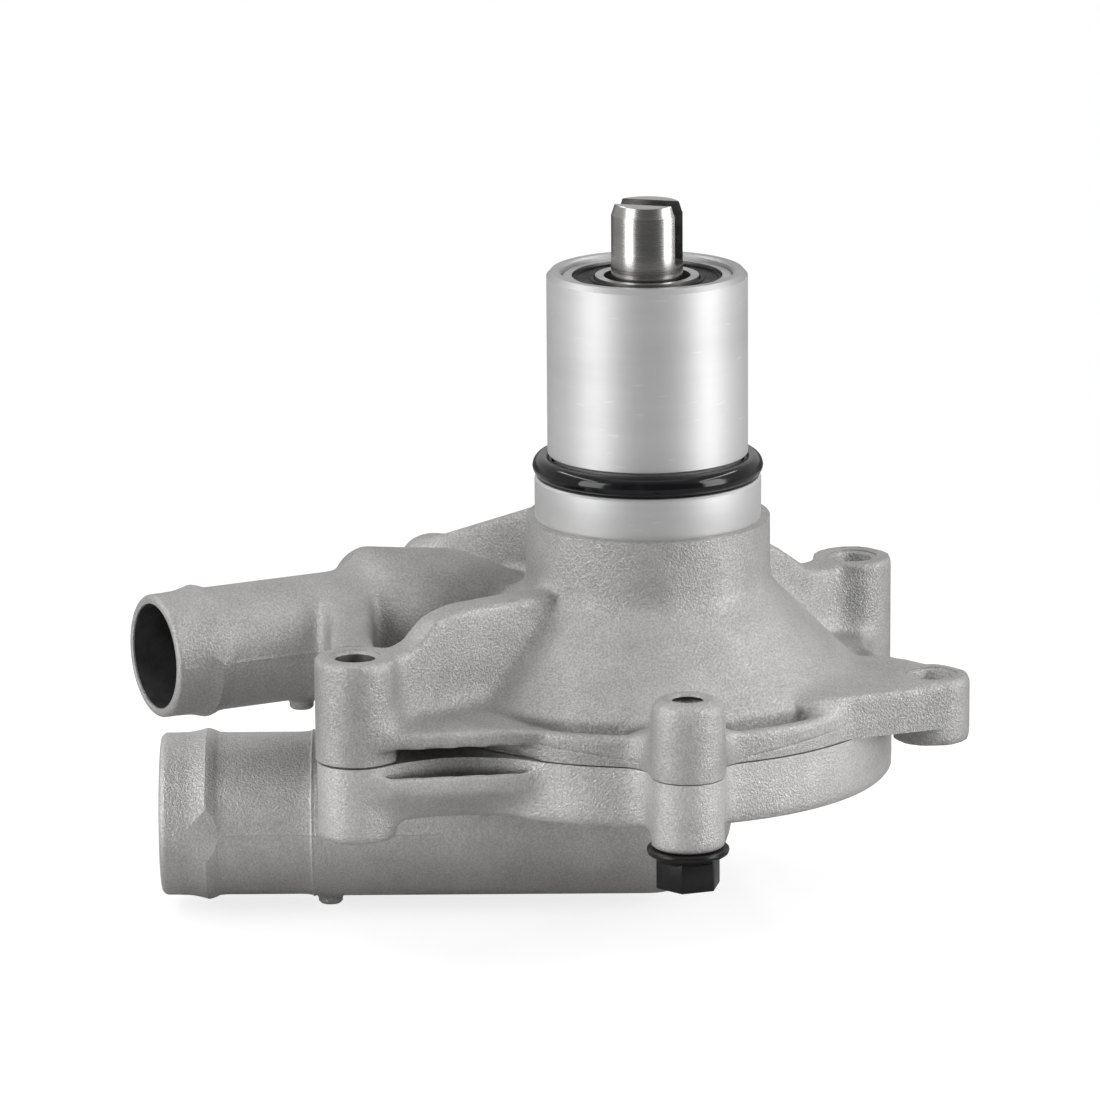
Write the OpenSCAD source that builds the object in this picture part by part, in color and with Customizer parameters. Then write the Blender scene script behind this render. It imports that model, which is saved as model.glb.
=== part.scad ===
// Engine-driven water pump: a cast body and cover round an impeller, a face seal,
// an oil seal and two sealed ball bearings.
// Z runs along the shaft towards the drive. The origin is where the shaft's axis
// crosses the joint between the body and the cover.

/* [Casing] */
// Diameter of the round casing at the joint
casing_d = 68.2; // [67.2:0.2:76]
// Width of the joint face, from the casing's edge to the chamber
rim_w = 5.3; // [5.1:0.1:7]
// Height of the body's rim above the joint
rim_h = 4.9; // [4.4:0.1:5.6]
// Depth of the cover below the joint
cover_h = 8.5; // [8:0.1:10]
// Thickness of the cover's floor
cover_floor_t = 3.9; // [3.4:0.1:4.4]
// Slope of the body's dome, in degrees
dome_slope = 45; // [43:1:47]
// Wall thickness of the body's dome
dome_wall = 3; // [2.6:0.1:3.6]
// Radius of the fillet between the dome and the neck
neck_fillet = 4; // [2:0.5:5]
// Height of the pry slot in the joint
pry_h = 1.5; // [1:0.1:2]
// Length of the pry slot
pry_l = 20; // [16:0.5:22]

/* [Neck and snout] */
// Diameter of the cast neck
neck_d = 34.1; // [33.4:0.1:36]
// Height of the cast neck above the joint
neck_top = 27.2; // [26:0.2:30]
// Diameter of the machined shoulder under the ring
shoulder_d = 31.6; // [31.2:0.1:32.9]
// Height of the machined shoulder
shoulder_h = 5.8; // [4:0.1:8]
// Diameter of the snout
snout_d = 27.94; // [27.6:0.02:28.6]
// Length of the snout above the ring
snout_l = 25.95; // [24.6:0.05:30]
// Section diameter of the snout's ring
oring_d = 3; // [2.6:0.1:3.2]
// Height of the ring above the shoulder, all round
oring_proud = 0.25; // [0.1:0.05:0.4]
// Width of the chamfer in the snout's mouth
mouth_chamfer = 0.3; // [0.2:0.05:0.6]
// Diameter of the weep hole at the back of the neck
weep_d = 2.4; // [1.6:0.1:2.6]

/* [Shaft] */
// Diameter of the shaft
shaft_d = 10; // [9.6:0.1:10.3]
// Length of the shaft beyond the snout
shaft_out = 9.5; // [9:0.1:16]
// Width of the drive slot
slot_w = 4; // [2:0.1:5]
// Depth of the drive slot
slot_depth = 8.4; // [4:0.1:9]
// Turn of the drive slot about the shaft, in degrees
slot_turn = -16.6; // [-90:0.1:90]
// Diameter of the shaft's journals in the bearings
journal_d = 12; // [11.6:0.1:12.2]
// Diameter of the shaft's shoulder between the bearings
shaft_shoulder_d = 14; // [13.4:0.1:15]

/* [Bearings] */
// Outer diameter of the bearings
bearing_od = 24; // [23.8:0.1:24.8]
// Width of the bearings
bearing_w = 6; // [5.8:0.1:6.6]
// Distance from the snout's end to the upper bearing
bearing_drop = 0.65; // [0.4:0.05:1.5]
// Length of the spacer between the bearings
spacer_l = 11.4; // [9:0.1:12]
// Diameter of the balls
ball_d = 3; // [2.7:0.1:3.1]
// Number of balls in a bearing
ball_count = 11; // [8:1:12]

/* [Oil seal] */
// Outer diameter of the oil seal
oil_seal_d = 18; // [17.6:0.1:18.6]
// Height of the oil seal
oil_seal_h = 4.4; // [4.2:0.1:5.4]

/* [Face seal] */
// Diameter of the face seal's seat
seal_seat_d = 25; // [24.8:0.1:26]
// Height of the seat's mouth above the joint
seal_seat_z = 12; // [11.8:0.1:12.6]
// Depth of the seat
seal_seat_depth = 11; // [10.6:0.1:11.2]
// Diameter of the carbon ring
carbon_d = 18.8; // [18:0.1:19]
// Wire diameter of the seal's spring
spring_wire_d = 1; // [0.8:0.05:1.1]
// Turns of the seal's spring
spring_turns = 2.75; // [1.5:0.25:2.75]

/* [Impeller] */
// Number of vanes
vane_count = 7; // [5:1:9]
// Thickness of the vanes
vane_t = 1.6; // [1:0.1:2.4]
// Radius of the vanes' curve
vane_r = 14; // [13.5:0.5:20]
// Thickness of the back plate
plate_t = 1.6; // [1.2:0.1:2.2]
// Space between the impeller and the chamber's wall
impeller_gap = 4.9; // [4.6:0.1:8]
// Space between the vanes and the cover's floor
vane_gap = 0.7; // [0.5:0.1:1.2]
// Height of the back plate above the joint
plate_z = 3; // [2:0.1:3.2]

/* [Outlet pipe] */
// Outer diameter of the outlet pipe
outlet_d = 17.2; // [16.6:0.1:18]
// Bore of the outlet pipe
outlet_bore_d = 14.6; // [12:0.1:14.8]
// Distance of the pipe's mouth from the casing's edge, along the pipe
outlet_reach = 33.4; // [31:0.1:45]
// Turn of the pipe in plan, in degrees
outlet_turn = 27; // [22:1:32]
// Distance of the pipe's axis from the shaft's axis
outlet_offset = 18.7; // [17.5:0.1:19.5]
// Height of the pipe's axis above the joint
outlet_z = 10.9; // [10.6:0.1:12.5]
// Diameter of the thick root where the pipe meets the body
outlet_root_d = 23; // [21.6:0.1:23.4]
// Length of the pipe in front of its root
outlet_stub_l = 30.5; // [27:0.5:31.5]

/* [Inlet pipe] */
// Outer diameter of the inlet pipe
inlet_d = 22.9; // [22.4:0.1:24]
// Bore of the inlet pipe
inlet_bore_d = 18; // [16:0.1:18.6]
// Distance of the pipe's mouth from the casing's edge
inlet_reach = 34.5; // [30:0.1:50]
// Distance of the pipe's axis below the joint
inlet_drop = 15.65; // [15.3:0.05:18]
// Diameter of the thick root below the casing
inlet_root_d = 23.4; // [23:0.1:25]
// Length of the pipe in front of its root
inlet_stub_l = 21.2; // [16:0.1:24]

/* [Hose beads] */
// Height of the beads above the pipes
bead_h = 0.65; // [0.4:0.05:1.2]
// Length of a bead
bead_w = 5.1; // [4:0.1:6]
// Distance from a pipe's mouth to its bead
bead_at = 3.3; // [3:0.1:5]

/* [Bosses and bolts] */
// Diameter of the through holes for the mounting bolts
mount_hole_d = 5.5; // [5:0.1:5.8]
// Diameter of the two mounting bosses
mount_boss_d = 11.2; // [11:0.1:12.5]
// Height of the front mounting boss above the joint
front_boss_h = 14.7; // [12:0.1:18]
// Distance of the front mounting boss outside the casing's edge
front_boss_out = 15.4; // [13.5:0.1:17]
// Height of the back mounting boss above the joint
back_boss_h = 15; // [12:0.1:18]
// Distance of the back mounting boss outside the casing's edge
back_boss_out = 4.6; // [4.2:0.1:8]
// Depth of the mounting bosses below the joint
mount_boss_drop = 10.9; // [10.5:0.1:14]
// Nominal diameter of the cover bolts
bolt_d = 5; // [4.6:0.1:5.2]
// Width of the bolts' hexagon across its flats
bolt_hex_w = 8; // [7:0.5:8.5]
// Diameter of the bosses for the cover bolts
bolt_boss_d = 10.4; // [10:0.1:11.4]
// Height of the front bolt boss above the joint
bolt_boss_h = 11.1; // [10:0.1:14]
// Height of the closed bolt boss at the back
closed_boss_h = 17.6; // [15:0.1:18]
// Distance of the bolt bosses outside the casing's edge
bolt_boss_out = 4.4; // [4:0.1:7]
// Depth of the bolt bosses below the joint
bolt_boss_drop = 9.9; // [9.2:0.1:12]
// Outer diameter of the locating dowels
dowel_d = 7; // [6.8:0.1:7.6]
// Length of the locating dowels
dowel_l = 8; // [6:0.5:10]
// Diameter of the side ear
ear_d = 10.6; // [10:0.1:12.5]
// Height of the side ear above the joint
ear_h = 6.8; // [5.6:0.1:8]
// Distance of the side ear outside the casing's edge
ear_out = 6.4; // [6:0.1:10]

/* [Places round the casing] */
// Direction of the front mounting boss, in degrees
front_boss_turn = 215.4; // [212:0.1:219]
// Direction of the back mounting boss, in degrees
back_boss_turn = 40.3; // [35:0.1:50]
// Direction of the front bolt boss, in degrees
front_bolt_turn = -82.9; // [-90:0.1:-75]
// Direction of the closed bolt boss at the back, in degrees
back_bolt_turn = 136.9; // [128:0.1:142]
// Direction of the side ear, in degrees
ear_turn = -14.5; // [-20:0.1:-8]

/* [Hidden] */
$fn = 96;

// Clearances
run_gap = 0.08;     // radial gap of a turning fit
ball_gap = 0.12;    // gap between balls and their tracks
face_film = 0.05;   // film between the seal's faces
over = 1;           // how far a cut runs past a face
bite = 0.03;        // how far a web's side runs into the round boss that it meets

// Radii of the main turned surfaces
casing_r = casing_d / 2;
chamber_r = casing_r - rim_w;
neck_r = neck_d / 2;
shoulder_r = shoulder_d / 2;
snout_r = snout_d / 2;
shaft_r = shaft_d / 2;
groove_r = shoulder_r + oring_proud - oring_d;
mount_boss_r = mount_boss_d / 2;
bolt_boss_r = bolt_boss_d / 2;
ear_r = ear_d / 2;

// Heights of the snout's stack, from the neck up
shoulder_top = neck_top + shoulder_h;
snout_z = shoulder_top + oring_d + 0.1;
snout_top = snout_z + snout_l;
shaft_top = snout_top + shaft_out;

// Bearings
race_r = bearing_od / 2;
journal_r = journal_d / 2;
pitch_r = (journal_r + race_r) / 2 + 0.25;
ball_r = ball_d / 2;
land_gap = 1;       // from the pitch circle to either race's land
upper_bearing_z = snout_top - bearing_drop - bearing_w;
lower_bearing_z = upper_bearing_z - spacer_l - bearing_w;
journal_l = spacer_l + 2 * bearing_w - 1;   // it ends inside the upper bearing
bearing_seal_r = race_r - 1.6;
bearing_lip_r = journal_r + 1.2;    // where the seals meet the inner race
bearing_seal_t = 0.7;
bearing_seal_in = 0.3;

// Oil seal, under the ledge that carries the lower bearing
ledge_t = 2;
oil_seal_r = oil_seal_d / 2;
oil_seal_top = lower_bearing_z - ledge_t;
oil_seal_z = oil_seal_top - oil_seal_h;

// Face seal: the case sits in the body, its mate turns with the impeller
case_t = 0.6;
case_flange_t = 0.8;
seat_r = seal_seat_d / 2;
case_flange_r = seat_r + 1.9;
seat_wall = 2.9;
seat_top = seal_seat_z + seal_seat_depth;
case_z = seal_seat_z - case_flange_t;
case_top = seat_top - 0.5;
face_z = case_z - 1.2;
carbon_r = carbon_d / 2;
carbon_top = case_z + 3.8;
bellows_r = seat_r - case_t - 0.5;
bellows_flange_t = 0.8;
bellows_tube_r = shaft_r + 2.7;
spring_z = carbon_top + bellows_flange_t;
spring_room = case_top - case_t - bellows_flange_t - spring_z;
spring_r = (bellows_r + bellows_tube_r) / 2 + 0.7;

// Impeller stack
impeller_r = chamber_r - impeller_gap;
chamber_floor = cover_floor_t - cover_h;
vane_z = chamber_floor + vane_gap;
cup_floor_t = 1.2;
cup_z = plate_z + 2;
ceramic_r = carbon_r + 0.2;
ceramic_bore_r = shaft_r + 1;
cup_r = ceramic_r + 1.5;
hub_r = cup_r + 1.5;
hub_top = face_z - 1.6;
insert_r = shaft_r + 2.4;
insert_z = plate_z - 3.4;
shaft_z = insert_z + 0.5;
nose_r = insert_r + 1.4;
impeller_bolt_l = 10;
eye_r = inlet_bore_d / 2;

// Pipes
outlet_tip = casing_r + outlet_reach;
outlet_r = outlet_d / 2;
outlet_root_r = outlet_root_d / 2;
outlet_end_r = outlet_root_r - 1.5; // where the root dives into the dome
outlet_bore_r = outlet_bore_d / 2;
outlet_bend_l = 10;                 // length of the bend down to the chamber
outlet_end_from = 13;               // from the shaft's axis to the end of the bend
outlet_end_at = outlet_tip - outlet_end_from;
outlet_turn_at = outlet_end_at - outlet_bend_l;
outlet_foot_z = 0.7;                // lowest point of the pipe's root and of its peg
inlet_tip = casing_r + inlet_reach;
inlet_r = inlet_d / 2;
inlet_root_r = inlet_root_d / 2;
inlet_bore_r = inlet_bore_d / 2;
peg_d = 3.4;

// Bosses in plan
function polar(r, a) = [r * cos(a), r * sin(a)];
front_boss = polar(casing_r + front_boss_out, front_boss_turn);
back_boss = polar(casing_r + back_boss_out, back_boss_turn);
front_bolt = polar(casing_r + bolt_boss_out, front_bolt_turn);
back_bolt = polar(casing_r + bolt_boss_out + 2.9, back_bolt_turn);
ear = polar(casing_r + ear_out, ear_turn);
mount_holes = [front_boss, back_boss];
bolt_holes = [front_bolt, back_bolt];
thread_r = bolt_d / 2 - 0.1;
bolt_clear_r = bolt_d / 2 + 0.25;
bolt_grip = 9.8;
ear_drop = 2.5;
web_h = ear_h - 0.6;
front_web_r = 17;
front_web_z = 2.4;
cover_web_z = -1.5;
cover_web_t = 2.5;
cover_boss_less = 0.2;

// Ring groove in the cover's joint face
seal_groove_w = 2;
seal_groove_r = chamber_r + 1.9;
seal_groove_depth = 1.4;

// Point of an arc, and an arc as a list of points
function arc(c, r, a0, a1, n) = [for (i = [0:n]) c + polar(r, a0 + (a1 - a0) * i / n)];
// Centre of a circle that touches the casing and a round boss from outside
function blend_centre(p, boss_r, r, side) =
    let (d = norm(p), a = casing_r + r, b = boss_r + r, x = (a * a - b * b + d * d) / (2 * d))
    x * p / d + side * sqrt(a * a - x * x) * [-p.y, p.x] / d;
// Point where a line from p touches a circle
function touch(p, c, r, side) =
    let (v = p - c)
    c + polar(r, atan2(v.y, v.x) + side * acos(r / norm(v)));

// Plan of a web from the casing to a boss, with a hollow round side
module blend(p, boss_r, r, side) {
    c = blend_centre(p, boss_r, r, side);
    difference() {
        polygon([[0, 0], p, c]);
        translate(c) circle(r + bite);
    }
}

module at(p, z = 0) { translate([p.x, p.y, z]) children(); }

// Turned solid from a list of [radius, height] points
module turned(points) { rotate_extrude() polygon(points); }

module tube(r_out, r_in, z0, z1) {
    translate([0, 0, z0]) difference() {
        cylinder(r = r_out, h = z1 - z0);
        translate([0, 0, -over]) cylinder(r = r_in, h = z1 - z0 + 2 * over);
    }
}

module bore(r, z0, z1) { translate([0, 0, z0]) cylinder(r = r, h = z1 - z0); }

// Upright rib along a direction in plan, from its side view in [distance, height]
module rib(a, w, points) {
    rotate([0, 0, a]) rotate([90, 0, 0]) translate([0, 0, -w / 2])
        linear_extrude(w) polygon(points);
}

// Hose pipe from its mouth inwards along Z, with a bead and a bevelled mouth
module hose_pipe(r, l, bevel) {
    ramp = bead_w * 0.3;
    turned([
        [0, 0], [r - bevel, 0], [r, bevel], [r, bead_at], [r + bead_h, bead_at + ramp],
        [r + bead_h, bead_at + bead_w - ramp], [r, bead_at + bead_w], [r, l], [0, l]
    ]);
}

// Frames of the two pipes: origin at the mouth, Z inwards
module outlet_frame() {
    rotate([0, 0, outlet_turn]) translate([-outlet_tip, outlet_offset, outlet_z])
        rotate([0, 90, 0]) children();
}
module inlet_frame() { translate([-inlet_tip, 0, -inlet_drop]) rotate([0, 90, 0]) children(); }

// Fall of the passage from the pipe's height, towards -Z, as seen in the outlet's frame
outlet_fall = outlet_z - 4.1;

dome_r0 = casing_r - 4.4;
dome_z0 = rim_h + 0.3;
dome_foot_r = neck_r + neck_fillet * (1 - sin(dome_slope));
dome_foot_z = dome_z0 + (dome_r0 - dome_foot_r) * tan(dome_slope);
neck_z = dome_foot_z + neck_fillet * cos(dome_slope);

module body_outside() {
    lip_r = 1.2;
    channel_z = rim_h - 1.6;
    fine = 0.3;
    turned(concat(
        [[0, 0], [casing_r, 0]],
        arc([casing_r - lip_r, rim_h - lip_r], lip_r, 0, 90, 4),
        [[casing_r - 1.9, rim_h], [casing_r - 2.4, channel_z], [casing_r - 4.2, channel_z],
         [dome_r0, dome_z0]],
        arc([neck_r + neck_fillet, neck_z], neck_fillet, 270 - dome_slope, 180, 6),
        [[neck_r, neck_top - fine], [neck_r - fine, neck_top], [shoulder_r + fine, neck_top],
         [shoulder_r, neck_top + fine], [shoulder_r, shoulder_top - fine],
         [shoulder_r - fine, shoulder_top], [groove_r, shoulder_top], [groove_r, snout_z],
         [snout_r - fine, snout_z], [snout_r, snout_z + fine], [snout_r, snout_top - fine],
         [snout_r - 0.45, snout_top], [0, snout_top]]
    ));
}

module body_chamber() {
    seat_out = seat_r + seat_wall;
    roof = dome_foot_z - dome_wall - 0.3;
    chamber_depth = outlet_root_r;
    turned([
        [0, -chamber_depth], [chamber_r, -chamber_depth], [chamber_r, rim_h - 3.4],
        [dome_r0 - dome_wall, dome_z0 - 0.7], [dome_foot_r + 0.6, roof],
        [seat_out + 0.6, roof], [seat_out, roof - 0.6], [seat_out, seal_seat_z],
        [0, seal_seat_z]
    ]);
}

module body_bores() {
    translate([0, 0, snout_top - mouth_chamfer])
        cylinder(r1 = race_r, r2 = race_r + mouth_chamfer + over, h = mouth_chamfer + over);
    bore(race_r, lower_bearing_z, snout_top);
    bore(shaft_r + 3.2, oil_seal_z, lower_bearing_z + over);
    bore(oil_seal_r, seat_top - over, oil_seal_top);
    bore(seat_r, seal_seat_z - over, seat_top);
    translate([0, 0, seat_top + weep_d / 2 + 0.4]) rotate([-90, 0, 0])
        cylinder(d = weep_d, h = neck_r + over);
}

module outlet_outside() {
    difference() {
        outlet_pipe();
        translate([-2 * outlet_tip, -outlet_tip, outlet_foot_z - outlet_tip])
            cube([2 * outlet_tip, 2 * outlet_tip, outlet_tip]);
    }
}

module outlet_pipe() {
    outlet_frame() {
        hose_pipe(outlet_r, outlet_stub_l, 0.7);
        turned([
            [0, outlet_stub_l - 0.2], [outlet_r, outlet_stub_l - 0.2],
            [outlet_root_r - 0.8, outlet_stub_l + 1.4], [outlet_root_r, outlet_stub_l + 3],
            [outlet_end_r, outlet_turn_at], [0, outlet_turn_at]
        ]);
        hull($fn = 32) {
            translate([0, 0, outlet_turn_at]) sphere(r = outlet_end_r);
            translate([outlet_fall - 2, 0, outlet_end_at + 2]) sphere(r = outlet_end_r - 0.8);
        }
        translate([0, 0, outlet_stub_l - 8]) rotate([0, 90, 0]) cylinder(d = peg_d, h = outlet_z);
    }
}

module outlet_passage() {
    bend_r = outlet_bore_r - 0.7;
    outlet_frame() {
        translate([0, 0, -over]) cylinder(r = outlet_bore_r, h = outlet_turn_at + over);
        hull($fn = 32) {
            translate([0, 0, outlet_turn_at]) sphere(r = bend_r);
            translate([outlet_fall, 0, outlet_end_at]) sphere(r = bend_r - 0.7);
        }
    }
}

// Webs from the casing to its four bosses, which are less thick on the cover
module rim_webs(h, less = 0) {
    linear_extrude(h) {
        blend(front_boss, mount_boss_r - less, front_web_r, 1);
        blend(front_boss, mount_boss_r - less, 12, -1);
        for (side = [-1, 1]) {
            blend(front_bolt, bolt_boss_r - less, 4, side);
            blend(back_bolt, bolt_boss_r - less, 8, side);
            blend(back_boss, mount_boss_r - less, 8, side);
        }
    }
}

// Flat front web, which overhangs the hollow side of the web above or below it
function front_web_end() = polar(casing_r - 0.4, 244.8);
function front_web_start(boss_r) = touch(front_web_end(), front_boss, boss_r - bite, -1);
module front_web(boss_r) {
    polygon([[0, 0], front_boss, front_web_start(boss_r), front_web_end()]);
}

module body_webs() {
    rim_webs(rim_h);
    translate([0, 0, front_web_z]) linear_extrude(rim_h - 0.2 - front_web_z) front_web(mount_boss_r);
    start = polar(casing_r - 2.6, -46.5);
    finish = polar(casing_r - 0.6, 4);
    linear_extrude(web_h) polygon([
        [0, 0], start, touch(start, ear, ear_r - bite, 1), ear,
        touch(finish, ear, ear_r - bite, -1), finish
    ]);
    gusset_foot = neck_r - 1;
    boss_out = norm(front_boss);
    rib(front_boss_turn, 4.8, [
        [gusset_foot, 2], [boss_out, 2], [boss_out, front_boss_h - 0.3],
        [boss_out - 7, front_boss_h - 0.3], [boss_out - 9, front_boss_h + 0.5],
        [boss_out - 12, front_boss_h + 3.5], [boss_out - 16, front_boss_h + 4.5],
        [gusset_foot, neck_z - 0.5]
    ]);
    rib(back_bolt_turn, 5, [
        [gusset_foot, 2], [norm(back_bolt), 2], [norm(back_bolt), closed_boss_h - 0.3],
        [neck_r, neck_top - 0.5], [gusset_foot, neck_top - 0.5]
    ]);
    rib(back_boss_turn, 6, [
        [gusset_foot, 2], [norm(back_boss), 2], [norm(back_boss), back_boss_h - 0.3],
        [neck_r + 12, back_boss_h - 0.3], [neck_r + 4, back_boss_h + 5],
        [gusset_foot, back_boss_h + 5]
    ]);
    at(front_boss) rib(94, 6.2, [
        [0, 1], [-front_boss.y - 4, 1], [-front_boss.y - 4, outlet_z + outlet_r],
        [-front_boss.y - 11, outlet_z + outlet_r - 1.5], [mount_boss_r - 0.5, front_boss_h - 0.5],
        [0, front_boss_h - 0.5]
    ]);
}

module body_bosses() {
    crown_r = 0.8 * bolt_boss_r;
    at(front_boss) cylinder(r = mount_boss_r, h = front_boss_h);
    at(back_boss) cylinder(r = mount_boss_r, h = back_boss_h);
    at(front_bolt) cylinder(r = bolt_boss_r, h = bolt_boss_h);
    at(back_bolt) {
        cylinder(r = bolt_boss_r, h = closed_boss_h - crown_r);
        translate([0, 0, closed_boss_h - crown_r]) turned(concat(
            [[0, 0], [bolt_boss_r, 0]],
            arc([bolt_boss_r - crown_r, 0], crown_r, 0, 90, 4), [[0, crown_r]]
        ));
    }
    at(ear, -ear_drop) cylinder(r = ear_r, h = ear_h + ear_drop);
}

module pump_body() {
    color("lightgray") difference() {
        union() {
            body_outside();
            outlet_outside();
            body_webs();
            body_bosses();
        }
        body_chamber();
        outlet_passage();
        body_bores();
        for (p = mount_holes) {
            at(p, -over) cylinder(d = mount_hole_d, h = front_boss_h + back_boss_h);
            at(p, -over) cylinder(d = dowel_d, h = dowel_l / 2 + over);
        }
        at(front_bolt, -over) cylinder(r = thread_r, h = bolt_boss_h + 2 * over);
        at(back_bolt, -over) cylinder(r = thread_r, h = bolt_grip + 2 + over);
        at(ear, -ear_drop - over) cylinder(d = mount_hole_d, h = ear_h + ear_drop + 2 * over);
        pry_slot();
    }
}

// Wedge between the body's front web and the cover, outside the sealed rim
module pry_slot() {
    slot_start = front_boss.x + mount_boss_r;
    slot_stop = slot_start + pry_l;
    difference() {
        translate([0, -chamber_r + 6, 0]) rotate([90, 0, 0]) linear_extrude(front_boss_out + 6)
            polygon([
                [slot_start, -over], [slot_start, pry_h * 0.6], [slot_start + 1, pry_h],
                [slot_stop - 8, pry_h], [slot_stop, 0], [slot_stop, -over]
            ]);
        translate([0, 0, -2 * over]) cylinder(r = casing_r - 1.2, h = 10);
    }
}

module cover_outside() {
    edge = 1;
    turned([
        [0, 0], [0, -cover_h], [casing_r - edge, -cover_h], [casing_r - 0.3, -cover_h + 0.3],
        [casing_r, -cover_h + edge], [casing_r, 0]
    ]);
    inlet_frame() {
        hose_pipe(inlet_r, inlet_stub_l, 1);
        translate([0, 0, inlet_stub_l]) cylinder(r = inlet_root_r, h = inlet_tip - inlet_stub_l);
        translate([0, 0, inlet_tip]) sphere(r = inlet_root_r);
        translate([0, 0, inlet_stub_l + 2.4]) rotate([0, 90, 0])
            cylinder(d = peg_d, h = inlet_root_r + 1.4);
    }
}

module cover_webs() {
    boss_r = mount_boss_r - cover_boss_less;
    end = front_web_end();
    start = front_web_start(boss_r);
    translate([0, 0, -cover_h]) rim_webs(cover_h, cover_boss_less);
    difference() {
        translate([0, 0, -cover_h]) linear_extrude(cover_h + cover_web_z) front_web(boss_r);
        at(start, cover_web_z - cover_web_t)
            rotate([0, 0, atan2(end.y - start.y, end.x - start.x)]) rotate([46, 0, 0])
                translate([-20, -14, -12]) cube([60, 14, 24]);
    }
}

module pump_cover() {
    color("silver") difference() {
        union() {
            cover_outside();
            cover_webs();
            for (p = mount_holes) at(p, -mount_boss_drop)
                cylinder(r = mount_boss_r - cover_boss_less, h = mount_boss_drop);
            for (p = bolt_holes) at(p, -bolt_boss_drop)
                cylinder(r = bolt_boss_r - cover_boss_less, h = bolt_boss_drop);
        }
        bore(chamber_r, chamber_floor, over);
        bore(eye_r, -inlet_drop, over);
        inlet_frame() {
            translate([0, 0, -over]) cylinder(r = inlet_bore_r, h = inlet_tip + over);
            translate([0, 0, inlet_tip]) sphere(r = inlet_bore_r);
        }
        tube(seal_groove_r + seal_groove_w / 2, seal_groove_r - seal_groove_w / 2,
            -seal_groove_depth, over);
        for (p = mount_holes) {
            at(p, -mount_boss_drop - over) cylinder(d = mount_hole_d, h = mount_boss_drop + 2 * over);
            at(p, -dowel_l / 2) cylinder(d = dowel_d, h = dowel_l / 2 + over);
        }
        for (p = bolt_holes)
            at(p, -bolt_boss_drop - over) cylinder(r = bolt_clear_r, h = bolt_boss_drop + 2 * over);
        at(ear, -ear_drop - over) cylinder(r = ear_r + 0.5, h = ear_drop + 2 * over);
    }
}

module cover_seal() {
    half = seal_groove_w / 2 - 0.2;
    color("black")
        tube(seal_groove_r + half, seal_groove_r - half, -seal_groove_depth, 0);
}

module snout_oring() {
    color("black") translate([0, 0, shoulder_top + oring_d / 2])
        rotate_extrude() translate([groove_r + oring_d / 2, 0]) circle(d = oring_d, $fn = 48);
}

// Flange bolt, its seat at Z = 0 and its head below
module flange_bolt(grip, thread_l) {
    flange_r = bolt_hex_w / 2 + 1.65;
    head_h = 5.6;
    cylinder(r = bolt_d / 2, h = grip);
    cylinder(r = thread_r, h = grip + thread_l);
    turned([[0, 0], [flange_r, 0], [flange_r, -0.8], [bolt_hex_w / 2 + 0.4, -1.8], [0, -1.8]]);
    translate([0, 0, -head_h]) cylinder(d = bolt_hex_w / cos(30), h = head_h, $fn = 6);
}

module cover_bolts() {
    color("dimgray") for (p = bolt_holes)
        at(p, -bolt_boss_drop) rotate([0, 0, 18.8]) flange_bolt(bolt_boss_drop, bolt_grip);
}

module locating_dowels() {
    color("silver") for (p = mount_holes)
        at(p) tube(dowel_d / 2, mount_hole_d / 2, -dowel_l / 2, dowel_l / 2);
}

module drive_shaft() {
    color("lightsteelblue") difference() {
        union() {
            turned([
                [0, shaft_z], [shaft_r - 0.4, shaft_z], [shaft_r, shaft_z + 0.4],
                [shaft_r, shaft_top - 1.5], [shaft_r - 0.5, shaft_top], [0, shaft_top]
            ]);
            translate([0, 0, lower_bearing_z]) turned([
                [0, 0], [journal_r - 0.3, 0], [journal_r, 0.3],
                [journal_r, journal_l - 0.4], [journal_r - 0.4, journal_l], [0, journal_l]
            ]);
            translate([0, 0, lower_bearing_z + bearing_w])
                cylinder(d = shaft_shoulder_d, h = spacer_l);
        }
        rotate([0, 0, slot_turn]) translate([-shaft_d, -slot_w / 2, shaft_top - slot_depth])
            cube([2 * shaft_d, slot_w, slot_depth + over]);
        translate([0, 0, shaft_z - over]) cylinder(r = thread_r, h = impeller_bolt_l + 2 + over);
    }
}

// Groove for the balls, cut from either race
module ball_track(z) {
    translate([0, 0, z + bearing_w / 2]) rotate_extrude()
        translate([pitch_r, 0]) circle(r = ball_r + ball_gap, $fn = 48);
}

module outer_race(z) {
    edge = 0.3;
    color("gainsboro") difference() {
        translate([0, 0, z]) turned([
            [bearing_seal_r, 0], [race_r - edge, 0], [race_r, edge], [race_r, bearing_w - edge],
            [race_r - edge, bearing_w], [bearing_seal_r, bearing_w],
            [bearing_seal_r, bearing_w - 1], [pitch_r + land_gap, bearing_w - 1],
            [pitch_r + land_gap, 1], [bearing_seal_r, 1]
        ]);
        ball_track(z);
    }
}

module inner_race(z) {
    edge = 0.3;
    land_r = pitch_r - land_gap;
    color("gainsboro") difference() {
        translate([0, 0, z]) turned([
            [journal_r + edge, 0], [bearing_lip_r, 0], [bearing_lip_r, 1], [land_r, 1],
            [land_r, bearing_w - 1], [bearing_lip_r, bearing_w - 1], [bearing_lip_r, bearing_w],
            [journal_r + edge, bearing_w], [journal_r, bearing_w - edge], [journal_r, edge]
        ]);
        ball_track(z);
    }
}

module balls(z) {
    color("white") for (i = [0:ball_count - 1])
        rotate([0, 0, 360 * i / ball_count]) translate([pitch_r, 0, z + bearing_w / 2])
            sphere(r = ball_r, $fn = 48);
}

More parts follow.
